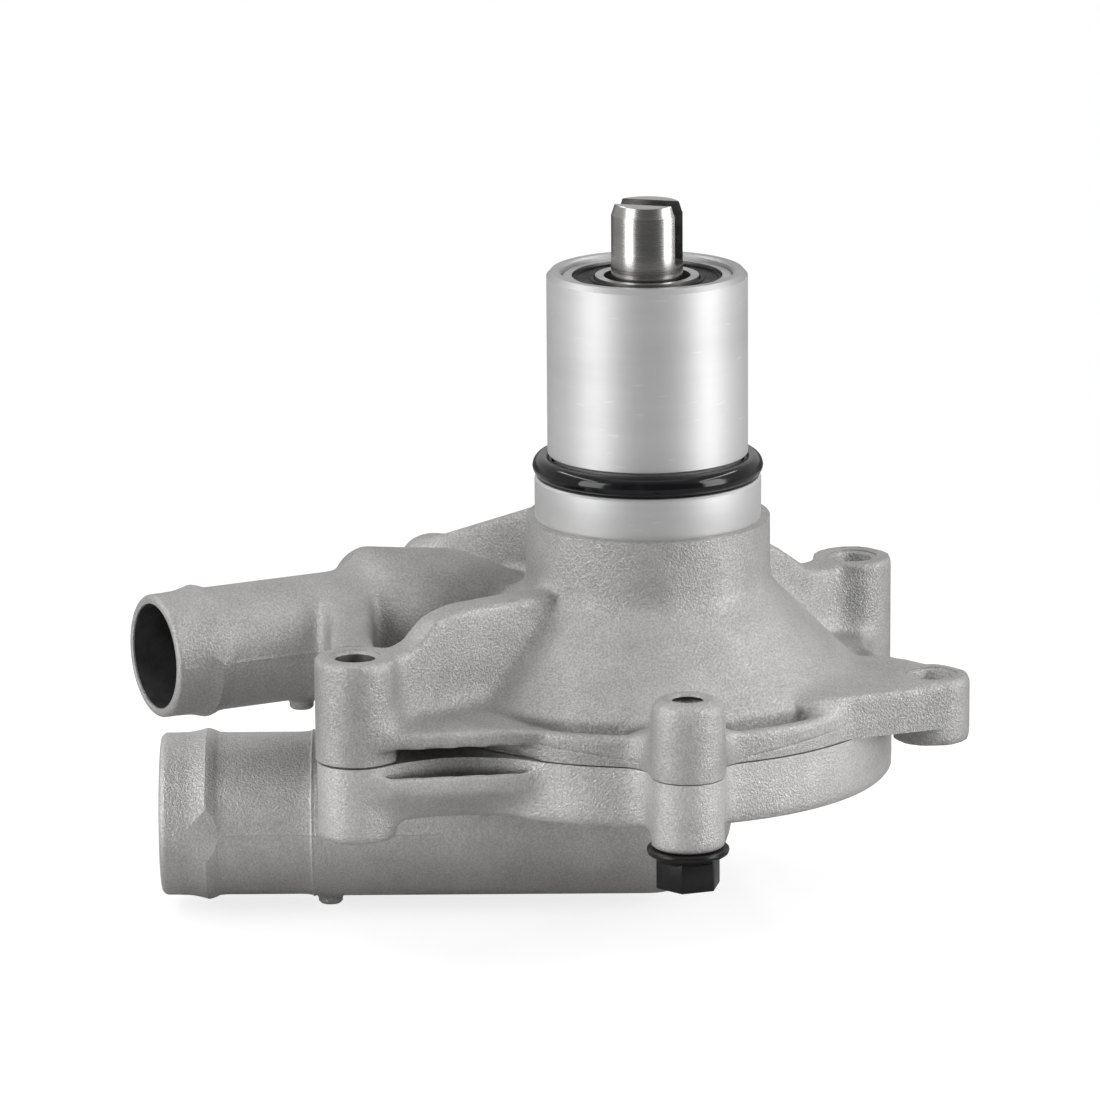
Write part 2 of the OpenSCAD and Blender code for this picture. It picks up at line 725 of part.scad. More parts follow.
module cage(z) {
    half = bearing_w / 2 - bearing_seal_in - bearing_seal_t - 0.15;
    color("burlywood") difference() {
        tube(pitch_r + 0.5, pitch_r - 0.5, z + bearing_w / 2 - half, z + bearing_w / 2 + half);
        for (i = [0:ball_count - 1])
            rotate([0, 0, 360 * i / ball_count]) translate([pitch_r, 0, z + bearing_w / 2])
                rotate([0, 90, 0]) cylinder(r = ball_r + 0.1, h = 4, center = true);
    }
}

module bearing_seals(z) {
    color("black") for (h = [bearing_seal_in, bearing_w - bearing_seal_in - bearing_seal_t])
        tube(bearing_seal_r, bearing_lip_r + run_gap, z + h, z + h + bearing_seal_t);
}

module bearing_spacer() {
    color("gray") tube(race_r - 0.1, race_r - 1.5, lower_bearing_z + bearing_w, upper_bearing_z);
}

module oil_seal_shell() {
    t = 0.5;
    color("gray") {
        tube(oil_seal_r, oil_seal_r - t, oil_seal_z, oil_seal_top);
        tube(oil_seal_r - t / 2, shaft_r + 1.4, oil_seal_z, oil_seal_z + t);
    }
}

module oil_seal_lip() {
    lip_z = oil_seal_z + 0.5;
    r = shaft_r;
    color("saddlebrown") turned([
        [r + 1.4, lip_z], [oil_seal_r - 0.5, lip_z], [oil_seal_r - 0.5, lip_z + 0.8],
        [r + 2, lip_z + 1], [r + 1.5, lip_z + 1.5], [r + 1.5, lip_z + 3], [r + 1, lip_z + 3.2],
        [r + run_gap, lip_z + 2.6], [r + run_gap, lip_z + 2.4], [r + 0.9, lip_z + 1.2]
    ]);
}

module oil_seal_garter() {
    wire = 0.7;
    color("silver") translate([0, 0, oil_seal_z + 2.9]) rotate_extrude()
        translate([shaft_r + 1.55 + wire / 2, 0]) circle(d = wire, $fn = 24);
}

module seal_case() {
    color("goldenrod") {
        tube(seat_r, seat_r - case_t, case_z, case_top);
        tube(case_flange_r, seat_r - case_t, case_z, seal_seat_z);
        tube(seat_r - case_t / 2, shaft_r + 1.8, case_top - case_t, case_top);
    }
}

// Rings of points along a round wire that climbs about Z
function coil_point(u, k) =
    let (a = 360 * spring_turns * u, w = polar(spring_wire_d / 2, k * 60))
    [(spring_r + w.x) * cos(a), (spring_r + w.x) * sin(a), u * spring_climb + w.y];
spring_climb = spring_room - spring_wire_d;
coil_rings = round(8 * spring_turns);
echo(least_spring_gap = spring_climb / spring_turns - spring_wire_d);

module seal_spring() {
    n = coil_rings;
    points = [for (i = [0:n], k = [0:5]) coil_point(i / n, k)];
    sides = [for (i = [0:n - 1], k = [0:5], half = [0, 1])
        let (a = 6 * i + k, b = 6 * i + (k + 1) % 6)
        half == 0 ? [a, b + 6, b] : [a, a + 6, b + 6]];
    caps = [for (k = [1:4]) [0, k, k + 1], for (k = [1:4]) [6 * n, 6 * n + k + 1, 6 * n + k]];
    color("silver") translate([0, 0, spring_z + spring_wire_d / 2])
        polyhedron(points, concat(sides, caps));
}

module seal_bellows() {
    color("black") {
        tube(bellows_r, shaft_r + 1.5, carbon_top, spring_z);
        tube(bellows_tube_r, shaft_r + 1.5, carbon_top, case_top - case_t);
        tube(bellows_r, shaft_r + 1.5, spring_z + spring_room, case_top - case_t);
    }
}

module carbon_ring() {
    color("black") {
        tube(carbon_r, shaft_r + 1.4, face_z + 1.2, carbon_top);
        tube(carbon_r - 0.6, shaft_r + 2, face_z, face_z + 1.2 + 0.1);
    }
}

module ceramic_ring() {
    color("ivory") tube(ceramic_r, ceramic_bore_r, cup_z + cup_floor_t, face_z - face_film);
}

module seat_cup() {
    color("black") {
        tube(cup_r, ceramic_r, cup_z, hub_top + 0.6);
        tube(cup_r, ceramic_bore_r, cup_z, cup_z + cup_floor_t);
    }
}

module vane() {
    linear_extrude(plate_z - vane_z + 0.1) intersection() {
        translate([vane_r, 0]) difference() {
            circle(r = vane_r + vane_t / 2);
            circle(r = vane_r - vane_t / 2);
        }
        difference() {
            circle(r = impeller_r - 0.3);
            circle(r = eye_r + 1.2);
        }
        square(impeller_r);
    }
}

module impeller() {
    color("darkslategray") difference() {
        union() {
            tube(impeller_r, insert_r, plate_z, plate_z + plate_t);
            bore(hub_r, plate_z + 0.2, hub_top);
            turned([[0, insert_z], [nose_r - 0.6, insert_z], [nose_r, insert_z + 0.6],
                [nose_r + 1, plate_z], [nose_r + 1, plate_z + 0.1], [0, plate_z + 0.1]]);
            for (i = [0:vane_count - 1])
                rotate([0, 0, 360 * i / vane_count]) translate([0, 0, vane_z]) vane();
        }
        bore(insert_r, insert_z - over, cup_z + over);
        bore(cup_r, cup_z, hub_top + over);
    }
}

module impeller_insert() {
    color("goldenrod") tube(insert_r, shaft_r, insert_z, cup_z);
}

module impeller_bolt() {
    washer_t = 1.2;
    hex_h = 3;
    color("silver") translate([0, 0, insert_z]) {
        cylinder(r = thread_r, h = impeller_bolt_l);
        translate([0, 0, -washer_t]) cylinder(r = insert_r - 0.6, h = washer_t);
        translate([0, 0, -washer_t - hex_h])
            cylinder(d = bolt_hex_w / cos(30), h = hex_h + washer_t / 2, $fn = 6);
    }
}

pump_body();
pump_cover();
cover_seal();
snout_oring();
cover_bolts();
locating_dowels();
drive_shaft();
outer_race(upper_bearing_z);  // upper_outer_race
inner_race(upper_bearing_z);  // upper_inner_race
balls(upper_bearing_z);  // upper_balls
cage(upper_bearing_z);  // upper_cage
bearing_seals(upper_bearing_z);  // upper_bearing_seals
outer_race(lower_bearing_z);  // lower_outer_race
inner_race(lower_bearing_z);  // lower_inner_race
balls(lower_bearing_z);  // lower_balls
cage(lower_bearing_z);  // lower_cage
bearing_seals(lower_bearing_z);  // lower_bearing_seals
bearing_spacer();
oil_seal_shell();
oil_seal_lip();
oil_seal_garter();
seal_case();
seal_spring();
seal_bellows();
carbon_ring();
ceramic_ring();
seat_cup();
impeller();
impeller_insert();
impeller_bolt();
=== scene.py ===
import math

import bmesh
import bpy
import numpy as np
from mathutils import Matrix, Vector


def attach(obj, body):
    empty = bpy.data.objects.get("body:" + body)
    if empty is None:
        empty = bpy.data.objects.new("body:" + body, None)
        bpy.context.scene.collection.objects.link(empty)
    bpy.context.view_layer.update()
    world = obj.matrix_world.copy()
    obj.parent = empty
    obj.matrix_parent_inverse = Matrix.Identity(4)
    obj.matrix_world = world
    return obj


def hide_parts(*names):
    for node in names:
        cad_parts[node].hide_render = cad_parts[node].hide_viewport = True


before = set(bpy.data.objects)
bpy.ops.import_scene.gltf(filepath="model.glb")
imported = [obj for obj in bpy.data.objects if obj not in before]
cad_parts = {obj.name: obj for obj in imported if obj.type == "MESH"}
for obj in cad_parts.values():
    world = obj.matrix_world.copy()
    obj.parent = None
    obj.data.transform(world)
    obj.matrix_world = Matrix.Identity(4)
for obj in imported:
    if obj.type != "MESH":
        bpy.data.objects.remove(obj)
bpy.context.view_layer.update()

MM = 0.001

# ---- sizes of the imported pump, in millimetres --------------------------------------------
CASING_R = 34.1
NECK_TOP = 27.2
SHOULDER_TOP = 33.0
SHOULDER_R = 15.8
NECK_R = 17.05
GROOVE_R = 13.05
SNOUT_Z = 36.1
SNOUT_TOP = 62.05
SNOUT_R = 13.97
BEARING_R = 12.0
HOLE_R = 2.75
THREAD_R = 2.4
PITCH = 0.8                         # of the bolts' threads
UPPER_Z, LOWER_Z = 55.4, 38.0
SHAFT_Z, SHAFT_TOP, SLOT_TURN = 0.1, 71.55, -16.6
BOLT_SEAT, HEX_R, HEX_TURN = -9.9, 4.619, 48.8


def polar(radius, degrees):
    return (radius * math.cos(math.radians(degrees)), radius * math.sin(math.radians(degrees)))


FRONT_BOSS = polar(CASING_R + 15.4, 215.4)
BACK_BOSS = polar(CASING_R + 4.6, 40.3)
FRONT_BOLT = polar(CASING_R + 4.4, -82.9)
BACK_BOLT = polar(CASING_R + 7.3, 136.9)
EAR = polar(CASING_R + 6.4, -14.5)
FRONT_BOSS_TOP, BACK_BOSS_TOP = 14.6, 14.92
FRONT_BOLT_TOP = 10.85
EAR_TOP, EAR_FOOT = 6.72, -2.42
MOUNT_FOOT, BOLT_FOOT = -10.85, -9.85   # undersides of the cover's bosses
SPOT_FACE = 0.14                    # depth of the spot faces round the holes
OUTLET_R, OUTLET_BORE, OUTLET_TIP, OUTLET_Z = 8.6, 7.3, CASING_R + 33.4, 10.9
INLET_R, INLET_BORE, INLET_TIP, INLET_Z = 11.45, 9.0, CASING_R + 34.5, -15.65
OUTLET_SIDE, OUTLET_TURN = 18.7, 27
OUTLET = OUTLET_TIP, OUTLET_SIDE, OUTLET_Z, OUTLET_TURN     # a pipe's tip, offset, z and turn
INLET = INLET_TIP, 0, INLET_Z, 0
BEAD = 3.4, 6.7, 8.5                # start, crest and end of a bead, from the pipe's mouth
OUTLET_PEG, INLET_PEG = (-48.58, -3.77), (-45, 0)
FRONT_HOLLOW = (-24.54, -44.82)     # centre of the round hollow between front boss and casing
SADDLE = (-32, -24)                 # foot of the rib between front boss and neck
OUTLET_WEB = (-38, -10)             # web that stands between front boss and outlet
SHELF_AT, SHELF_TURN = (-27.05, -31.85), 7.9


# ---- shader helper -----------------------------------------------------------------------
class Sock:
    """A socket in a material's node tree, with arithmetic."""

    def __init__(self, mat, socket):
        self.mat, self.socket = mat, socket

    def _math(self, op, a, b):
        return self.mat.node("ShaderNodeMath", {"operation": op}, {0: a, 1: b})

    def __add__(self, other):
        return self._math("ADD", self, other)

    def __radd__(self, other):
        return self._math("ADD", other, self)

    def __sub__(self, other):
        return self._math("SUBTRACT", self, other)

    def __rsub__(self, other):
        return self._math("SUBTRACT", other, self)

    def __mul__(self, other):
        return self._math("MULTIPLY", self, other)

    def __truediv__(self, other):
        return self._math("DIVIDE", self, other)

    def __pow__(self, other):
        return self._math("POWER", self, other)

    def clamp(self):
        return self.mat.node("ShaderNodeClamp", {}, {"Value": self})

    def smooth(self, low, high, to_low=0.0, to_high=1.0):
        """Smooth ramp from to_low to to_high as the value goes from low to high."""
        return self.mat.node("ShaderNodeMapRange", {"interpolation_type": "SMOOTHSTEP"},
                             {"Value": self, "From Min": low, "From Max": high,
                              "To Min": to_low, "To Max": to_high})


class Finish:
    """A material with one Principled shader, whose nodes are made as they are used."""

    def __init__(self, name):
        self.material = bpy.data.materials.new(name)
        self.material.use_nodes = True
        self.tree = self.material.node_tree
        self.shader = self.tree.nodes["Principled BSDF"]

    def node(self, kind, settings, inputs, out=0):
        n = self.tree.nodes.new(kind)
        for key, value in settings.items():
            setattr(n, key, value)
        for key, value in inputs.items():
            self.put(n.inputs[key], value)
        return Sock(self, n.outputs[out])

    def put(self, socket, value):
        if isinstance(value, Sock):
            self.tree.links.new(value.socket, socket)
        elif isinstance(value, tuple) and len(value) == 3 and socket.type == "RGBA":
            socket.default_value = (*value, 1)
        else:
            socket.default_value = value

    def set(self, **sockets):
        for key, value in sockets.items():
            self.put(self.shader.inputs[key.replace("_", " ")], value)

    def coords(self):
        return self.node("ShaderNodeTexCoord", {}, {}, "Object")

    def stretched(self, coords, scale):
        return self.node("ShaderNodeMapping", {}, {"Vector": coords, "Scale": scale})

    def noise(self, coords, scale, detail, rough):
        return self.node("ShaderNodeTexNoise", {},
                         {"Vector": coords, "Scale": scale, "Detail": detail, "Roughness": rough})

    def cells(self, coords, scale):
        return self.node("ShaderNodeTexVoronoi", {}, {"Vector": coords, "Scale": scale}, "Color")

    def split(self, coords, axis):
        return self.node("ShaderNodeSeparateXYZ", {}, {"Vector": coords}, axis)

    def mix(self, factor, a, b):
        n = self.tree.nodes.new("ShaderNodeMix")
        n.data_type = "RGBA"
        self.put(n.inputs["Factor"], factor)
        for key, value in ((6, a), (7, b)):
            self.put(n.inputs[key], value)
        return Sock(self, n.outputs[2])

    def bump(self, height, strength, distance):
        return self.node("ShaderNodeBump", {},
                         {"Height": height, "Strength": strength, "Distance": distance})


# ---- materials ---------------------------------------------------------------------------
def blasted_casting(name, colour, dark, shade):
    """Blasted aluminium: fine grain, bright points and cloudy patches, with painted shade in the
    crevices that shade picks out.
    """
    m = Finish(name)
    at = m.coords()
    grain = m.noise(at, 3300, 2, 0.6)
    pits = m.noise(at, 7500, 1, 0.5)
    cloud = m.noise(at, 45, 4, 0.6)
    blotch = m.noise(at, 220, 3, 0.6)
    high = grain.smooth(0.35, 0.68)
    tone = (high * 0.5 + cloud.smooth(0.32, 0.68) * 0.3 + blotch.smooth(0.3, 0.7) * 0.2).clamp()
    glint = m.split(m.cells(at, 5600), "X").smooth(0.8, 1.0) * high
    # painted shade: the colour goes towards near black where shade(m, at) is high, in crevices that
    # light hardly reaches
    surface = m.mix(shade(m, at), m.mix(tone, dark, colour), (0.02, 0.02, 0.02))
    m.set(Base_Color=surface, Metallic=0.8,
          Roughness=0.5 + (1 - high) * 0.12 - glint * 0.26,
          Normal=m.bump(grain + pits * 0.4, 0.85, 0.00018))
    return m.material


def body_painted_shade(m, at):
    """Painted shade: how far the body's colour darkens in its groove and in the hollow beside its
    front boss, where little light reaches, from 0 to 1.
    """
    x, y, z = (m.split(at, axis) / MM for axis in "XYZ")
    radius = (x * x + y * y) ** 0.5
    groove = (radius.smooth(28.7, 30.6) * radius.smooth(31.0, 32.6, 1, 0)
              * z.smooth(4.2, 5.6, 1, 0) * y.smooth(-20, -16, 1, 0))
    away_x, away_y = x - FRONT_HOLLOW[0], y - FRONT_HOLLOW[1]
    away = (away_x * away_x + away_y * away_y) ** 0.5
    hollow = (away.smooth(17.3, 17.9, 1, 0) * z.smooth(2.3, 2.6, 1, 0)
              * x.smooth(-35.2, -34.6) * x.smooth(-24.5, -20.5, 1, 0))
    return groove * 0.55 + hollow * 0.9


def cover_painted_shade(m, at):
    """Painted shade: how far the cover's colour darkens at the foot of the pocket behind its shelf,
    where little light reaches, from 0 to 1.
    """
    x, y, z = (m.split(at, axis) / MM for axis in "XYZ")
    away_x, away_y = x - FRONT_HOLLOW[0], y - FRONT_HOLLOW[1]
    away = (away_x * away_x + away_y * away_y) ** 0.5
    c, s = math.cos(math.radians(SHELF_TURN)), math.sin(math.radians(SHELF_TURN))
    behind = (y - SHELF_AT[1]) * c - (x - SHELF_AT[0]) * s
    return (away.smooth(17.25, 17.8, 1, 0) * z.smooth(-2.5, -1.0, 1, 0) * z.smooth(-3.9, -3.7)
            * behind.smooth(-0.1, 0.3)) * 0.75


def machined(name, colour, dark, rough, marks, metal=1.0):
    """Turned metal: faint rings round the shaft's axis and a few short bright marks."""
    m = Finish(name)
    at = m.coords()
    lines = m.noise(m.stretched(at, (4, 4, 5200)), 1.0, 2, 0.6)
    wear = m.noise(m.stretched(at, (25, 25, 160)), 1.0, 3, 0.6)
    mark = m.noise(m.stretched(at, (260, 260, 2200)), 1.0, 1, 0.5).smooth(0.71, 0.75) * marks
    tone = m.mix(wear.smooth(0.35, 0.75), colour, dark)
    m.set(Base_Color=m.mix(mark, tone, (0.97, 0.97, 0.97)), Metallic=metal,
          Roughness=rough + lines.smooth(0.3, 0.7) * 0.05,
          Normal=m.bump(lines * 0.5 + mark, 0.1, 0.00004))
    return m.material


def rubber(name, colour, rough, gloss=0.5):
    """Rubber with a little dust on it."""
    m = Finish(name)
    at = m.coords()
    dust = m.noise(at, 500, 3, 0.6)
    m.set(Base_Color=m.mix(dust.smooth(0.4, 0.8), colour, tuple(c * 1.6 + 0.004 for c in colour)),
          Roughness=rough + dust.smooth(0.3, 0.7) * 0.12, Specular_IOR_Level=gloss,
          Normal=m.bump(dust, 0.08, 0.00005))
    return m.material


def steel(name, colour, dark, rough, metal=1.0):
    """Plain metal, plastic or carbon: cloudy in colour and gloss, with a fine grain."""
    m = Finish(name)
    at = m.coords()
    cloud = m.noise(at, 300, 4, 0.6)
    fine = m.noise(at, 2400, 2, 0.6)
    m.set(Base_Color=m.mix(cloud.smooth(0.35, 0.7), colour, dark), Metallic=metal,
          Roughness=rough + cloud.smooth(0.3, 0.7) * 0.1, Normal=m.bump(fine, 0.08, 0.00004))
    return m.material


# painted shade: both castings darken in their groove, hollow and pocket by the mask given as the
# last argument
BODY = blasted_casting("body_blasted", (0.63, 0.625, 0.62), (0.38, 0.375, 0.37),
                       body_painted_shade)
COVER = blasted_casting("cover_blasted", (0.79, 0.78, 0.775), (0.52, 0.51, 0.505),
                        cover_painted_shade)
TURNED = machined("turned_aluminium", (0.685, 0.685, 0.685), (0.625, 0.625, 0.625), 0.52,
                  0.22, 0.75)
# a darker copy of the turned finish for the snout's top faces: partly their faced finish, partly
# painted shade on the top
FACED_AND_SHADED = machined("faced_aluminium_painted_shade", (0.56, 0.56, 0.56), (0.46, 0.46, 0.46), 0.42, 0.3, 0.85)
# painted shade: a near-black finish for the faces inside bores and holes, where light hardly
# reaches
SHADED_BORES = steel("painted_bore_shade", (0.1, 0.1, 0.1), (0.05, 0.05, 0.05), 0.55, 0.6)
# painted shade: a dark finish for the walls of the shaft's slot
SLOT_SHADE = steel("painted_slot_shade", (0.2, 0.195, 0.19), (0.08, 0.08, 0.08), 0.5, 0.9)
GROUND = machined("ground_shaft", (0.5, 0.495, 0.48), (0.36, 0.35, 0.335), 0.24, 0.2)
BLACK_RUBBER = rubber("black_rubber", (0.012, 0.012, 0.013), 0.25)
RING_RUBBER = rubber("ring_rubber", (0.004, 0.004, 0.005), 0.05, 0.4)
SHIELD_RUBBER = rubber("shield_rubber", (0.004, 0.004, 0.004), 0.3, 0.08)
BROWN_RUBBER = rubber("brown_rubber", (0.12, 0.05, 0.03), 0.45)
BLACKENED = steel("blackened_bolt", (0.009, 0.009, 0.01), (0.02, 0.019, 0.018), 0.26, 0.4)
BRIGHT = steel("plain_steel", (0.62, 0.62, 0.63), (0.5, 0.5, 0.5), 0.3)
BEARING = steel("bearing_steel", (0.62, 0.62, 0.62), (0.52, 0.52, 0.52), 0.32)
CAGE = steel("cage_plastic", (0.6, 0.46, 0.26), (0.5, 0.38, 0.2), 0.5, 0.0)
BRASS = steel("pressed_brass", (0.75, 0.53, 0.22), (0.6, 0.4, 0.16), 0.3)
CARBON = steel("carbon", (0.04, 0.04, 0.042), (0.06, 0.06, 0.06), 0.4, 0.0)
CERAMIC = steel("white_ceramic", (0.86, 0.84, 0.78), (0.8, 0.77, 0.7), 0.25, 0.0)
VANES = steel("impeller_plastic", (0.03, 0.033, 0.037), (0.05, 0.052, 0.056), 0.45, 0.0)

NODE_FINISH = {
    "cover_seal": BLACK_RUBBER, "locating_dowels": BRIGHT, "drive_shaft": GROUND,
    "upper_outer_race": BEARING, "upper_inner_race": BEARING, "upper_balls": BEARING,
    "upper_cage": CAGE, "upper_bearing_seals": BLACK_RUBBER, "lower_outer_race": BEARING,
    "lower_inner_race": BEARING, "lower_balls": BEARING, "lower_cage": CAGE,
    "lower_bearing_seals": BLACK_RUBBER, "bearing_spacer": BRIGHT, "oil_seal_shell": BRIGHT,
    "oil_seal_lip": BROWN_RUBBER, "oil_seal_garter": BRIGHT, "seal_case": BRASS,
    "seal_spring": BRIGHT, "seal_bellows": BLACK_RUBBER, "carbon_ring": CARBON,
    "ceramic_ring": CERAMIC, "seat_cup": BLACK_RUBBER, "impeller": VANES,
    "impeller_insert": BRASS, "impeller_bolt": BRIGHT, "cover_bolts": BLACKENED,
    "pump_body": BODY, "pump_cover": COVER, "snout_oring": BLACK_RUBBER,
}
for node_name, finish in NODE_FINISH.items():
    node_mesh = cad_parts[node_name].data
    node_mesh.materials.clear()
    node_mesh.materials.append(finish)


# ---- mesh helpers ------------------------------------------------------------------------
def piece(name, bm, material, body, second_finish=None):
    """Makes a scene object of a bmesh and lets it ride on a body of the pump."""
    mesh = bpy.data.meshes.new(name)
    bm.to_mesh(mesh)
    bm.free()
    mesh.materials.append(material)
    # the second finish, where one is given, is mostly painted shade in bores and the slot
    if second_finish:
        mesh.materials.append(second_finish)
    mesh.shade_smooth()
    obj = bpy.data.objects.new(name, mesh)
    bpy.context.collection.objects.link(obj)
    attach(obj, body)
    return obj


def lathe(points, steps=96, centre=(0, 0)):
    """Solid of revolution about Z from a closed list of (radius, height) in millimetres."""
    bm = bmesh.new()
    verts = [bm.verts.new((r * MM, 0, z * MM)) for r, z in points]
    edges = [bm.edges.new((a, b)) for a, b in zip(verts, verts[1:])]
    if all(r > 0 for r, _ in points):
        edges.append(bm.edges.new((verts[-1], verts[0])))
    bmesh.ops.spin(bm, geom=verts + edges, cent=(0, 0, 0), axis=(0, 0, 1), angle=math.tau,
                   steps=steps, use_merge=True)
    bmesh.ops.remove_doubles(bm, verts=bm.verts, dist=1e-7)
    bmesh.ops.recalc_face_normals(bm, faces=bm.faces)
    bmesh.ops.translate(bm, verts=bm.verts, vec=(centre[0] * MM, centre[1] * MM, 0))
    return bm


def rod(centre, r, z0, z1, steps=48):
    """Cylinder between two heights."""
    return lathe([(0, z0), (r, z0), (r, z1), (0, z1)], steps, centre)


def block(x0, x1, y0, y1, z0, z1):
    """Box between two places on each axis."""
    bm = bmesh.new()
    bmesh.ops.create_cube(bm, size=1)
    bmesh.ops.scale(bm, verts=bm.verts, vec=Vector((x1 - x0, y1 - y0, z1 - z0)) * MM)
    bmesh.ops.translate(bm, verts=bm.verts,
                        vec=Vector((x0 + x1, y0 + y1, z0 + z1)) * MM / 2)
    return bm


def join(bms):
    """One bmesh of several."""
    whole = bms[0]
    for other in bms[1:]:
        part = bpy.data.meshes.new("part")
        other.to_mesh(part)
        other.free()
        whole.from_mesh(part)
        bpy.data.meshes.remove(part)
    return whole


def modified(bm, kind, **settings):
    """The bmesh after one modifier."""
    mesh = bpy.data.meshes.new("work")
    bm.to_mesh(mesh)
    bm.free()
    obj = bpy.data.objects.new("work", mesh)
    bpy.context.collection.objects.link(obj)
    mod = obj.modifiers.new("work", kind)
    for key, value in settings.items():
        setattr(mod, key, value)
    result = bmesh.new()
    result.from_object(obj, bpy.context.evaluated_depsgraph_get())
    bpy.data.objects.remove(obj)
    bpy.data.meshes.remove(mesh)
    return result


def combined(bm, tool, operation="DIFFERENCE"):
    """The bmesh less a closed tool, or with it."""
    mesh = bpy.data.meshes.new("tool")
    tool.to_mesh(mesh)
    tool.free()
    obj = bpy.data.objects.new("tool", mesh)
    bpy.context.collection.objects.link(obj)
    result = modified(bm, "BOOLEAN", operation=operation, object=obj, solver="MANIFOLD")
    bpy.data.objects.remove(obj)
    bpy.data.meshes.remove(mesh)
    return result


def cut_away(bm, *tools):
    """The bmesh less every tool."""
    for tool in tools:
        bm = combined(bm, tool)
    return bm


def added(bm, *parts):
    """The bmesh with every part."""
    for part in parts:
        bm = combined(bm, part, "UNION")
    return bm


def softened(bm, width, segments, degrees=35):
    """The bmesh with its sharp edges bevelled."""
    return modified(bm, "BEVEL", width=width * MM, segments=segments, limit_method="ANGLE",
                    angle_limit=math.radians(degrees), harden_normals=False)


def threaded(r_low, r_high, z0, z1, centre=(0, 0)):
    """Rod with thread-shaped rings, for a bolt or for cutting a tapped hole."""
    points, z = [(0, z0), (r_low, z0)], z0
    while z + PITCH < z1:
        points += [(r_low, z + PITCH * 0.1), (r_high, z + PITCH * 0.5), (r_low, z + PITCH * 0.9)]
        z += PITCH
    return lathe(points + [(r_low, z1), (0, z1)], 48, centre)


def move(bm, x, y, z):
    bmesh.ops.translate(bm, verts=bm.verts, vec=Vector((x, y, z)) * MM)


def rotate(bm, degrees, axis="Z"):
    """Turns a bmesh about an axis through the origin."""
    bmesh.ops.rotate(bm, verts=bm.verts, cent=(0, 0, 0),
                     matrix=Matrix.Rotation(math.radians(degrees), 3, axis))


def cut_flat(bm, z):
    """Takes off what is above a height and closes the cut."""
    everything = bm.verts[:] + bm.edges[:] + bm.faces[:]
    bmesh.ops.bisect_plane(bm, geom=everything, dist=1e-7, plane_co=(0, 0, z * MM),
                           plane_no=(0, 0, 1), clear_outer=True)
    rim = [e for e in bm.edges if e.is_boundary]
    bmesh.ops.triangle_fill(bm, edges=rim, use_beauty=True)


def cad_copy(node):
    """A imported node's mesh with its double points merged."""
    bm = bmesh.new()
    bm.from_mesh(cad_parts[node].data)
    bmesh.ops.remove_doubles(bm, verts=bm.verts, dist=1e-7)
    return bm


def slab(node, z, z0, z1):
    """Prism between two heights with the node's outline at height z, all in millimetres."""
    bm = cad_copy(node)
    everything = bm.verts[:] + bm.edges[:] + bm.faces[:]
    bmesh.ops.bisect_plane(bm, geom=everything, dist=1e-7, plane_co=(0, 0, z * MM),
                           plane_no=(0, 0, 1), clear_inner=True, clear_outer=True)
    outline = [e for e in bm.edges if all(abs(v.co.z - z * MM) < 1e-6 for v in e.verts)]
    keep = {v for e in outline for v in e.verts}
    bmesh.ops.delete(bm, geom=[v for v in bm.verts if v not in keep], context="VERTS")
    bmesh.ops.delete(bm, geom=bm.faces[:], context="FACES_ONLY")
    outline = bm.edges[:]
    for v in bm.verts:
        v.co.z = z0 * MM
    base = bmesh.ops.triangle_fill(bm, edges=outline, use_beauty=True)
    faces = [g for g in base["geom"] if isinstance(g, bmesh.types.BMFace)]
    top = bmesh.ops.extrude_face_region(bm, geom=faces, use_keep_orig=True)
    moved = [g for g in top["geom"] if isinstance(g, bmesh.types.BMVert)]
    bmesh.ops.translate(bm, verts=moved, vec=(0, 0, (z1 - z0) * MM))
    bmesh.ops.recalc_face_normals(bm, faces=bm.faces)
    return bm


def choose_faces(bm, chosen):
    """Gives the piece's second material to the faces that the test of their centres and normals
    picks; here that material is mostly painted shade.
    """
    bm.normal_update()
    at = np.array([face.calc_center_median() for face in bm.faces]) / MM
    normal = np.array([face.normal for face in bm.faces])
    for face, inside in zip(bm.faces, chosen(at, normal)):
        face.material_index = int(inside)
    return bm


FINE_ANGLE = 14                     # least angle of a sharp edge where fine ones are kept


def crisp(obj, degrees=30, fine=None):
    """Smooth faces with sharp edges kept, finer ones too where fine(place) is true."""
    mesh = obj.data
    bm = bmesh.new()
    bm.from_mesh(mesh)
    for e in bm.edges:
        angle = math.degrees(e.calc_face_angle(0))
        if angle > FINE_ANGLE and fine and fine((e.verts[0].co + e.verts[1].co) / (2 * MM)):
            angle = 180
        e.smooth = len(e.link_faces) == 2 and angle < degrees
    bm.to_mesh(mesh)
    bm.free()


# ---- helpers for castings ----------------------------------------------------------------
def ramp(value, low, high):
    """Straight ramp from 0 at low to 1 at high."""
    return np.clip((value - low) / (high - low), 0, 1)


def from_axis(at, centre=(0, 0)):
    """Distance of points from an upright axis, if none is given the shaft's."""
    return np.hypot(at[:, 0] - centre[0], at[:, 1] - centre[1])


VOXEL = 0.62                        # size of a casting's faces, in millimetres
EVEN_PASSES, EVEN_IN, EVEN_OUT = 6, 0.5, 0.52   # smoothing that keeps the size
FILL, SLIDE = 0.7, 0.3              # how fast inner corners fill and points spread evenly
NORMAL_EVERY = 4                    # passes between two new sets of normals


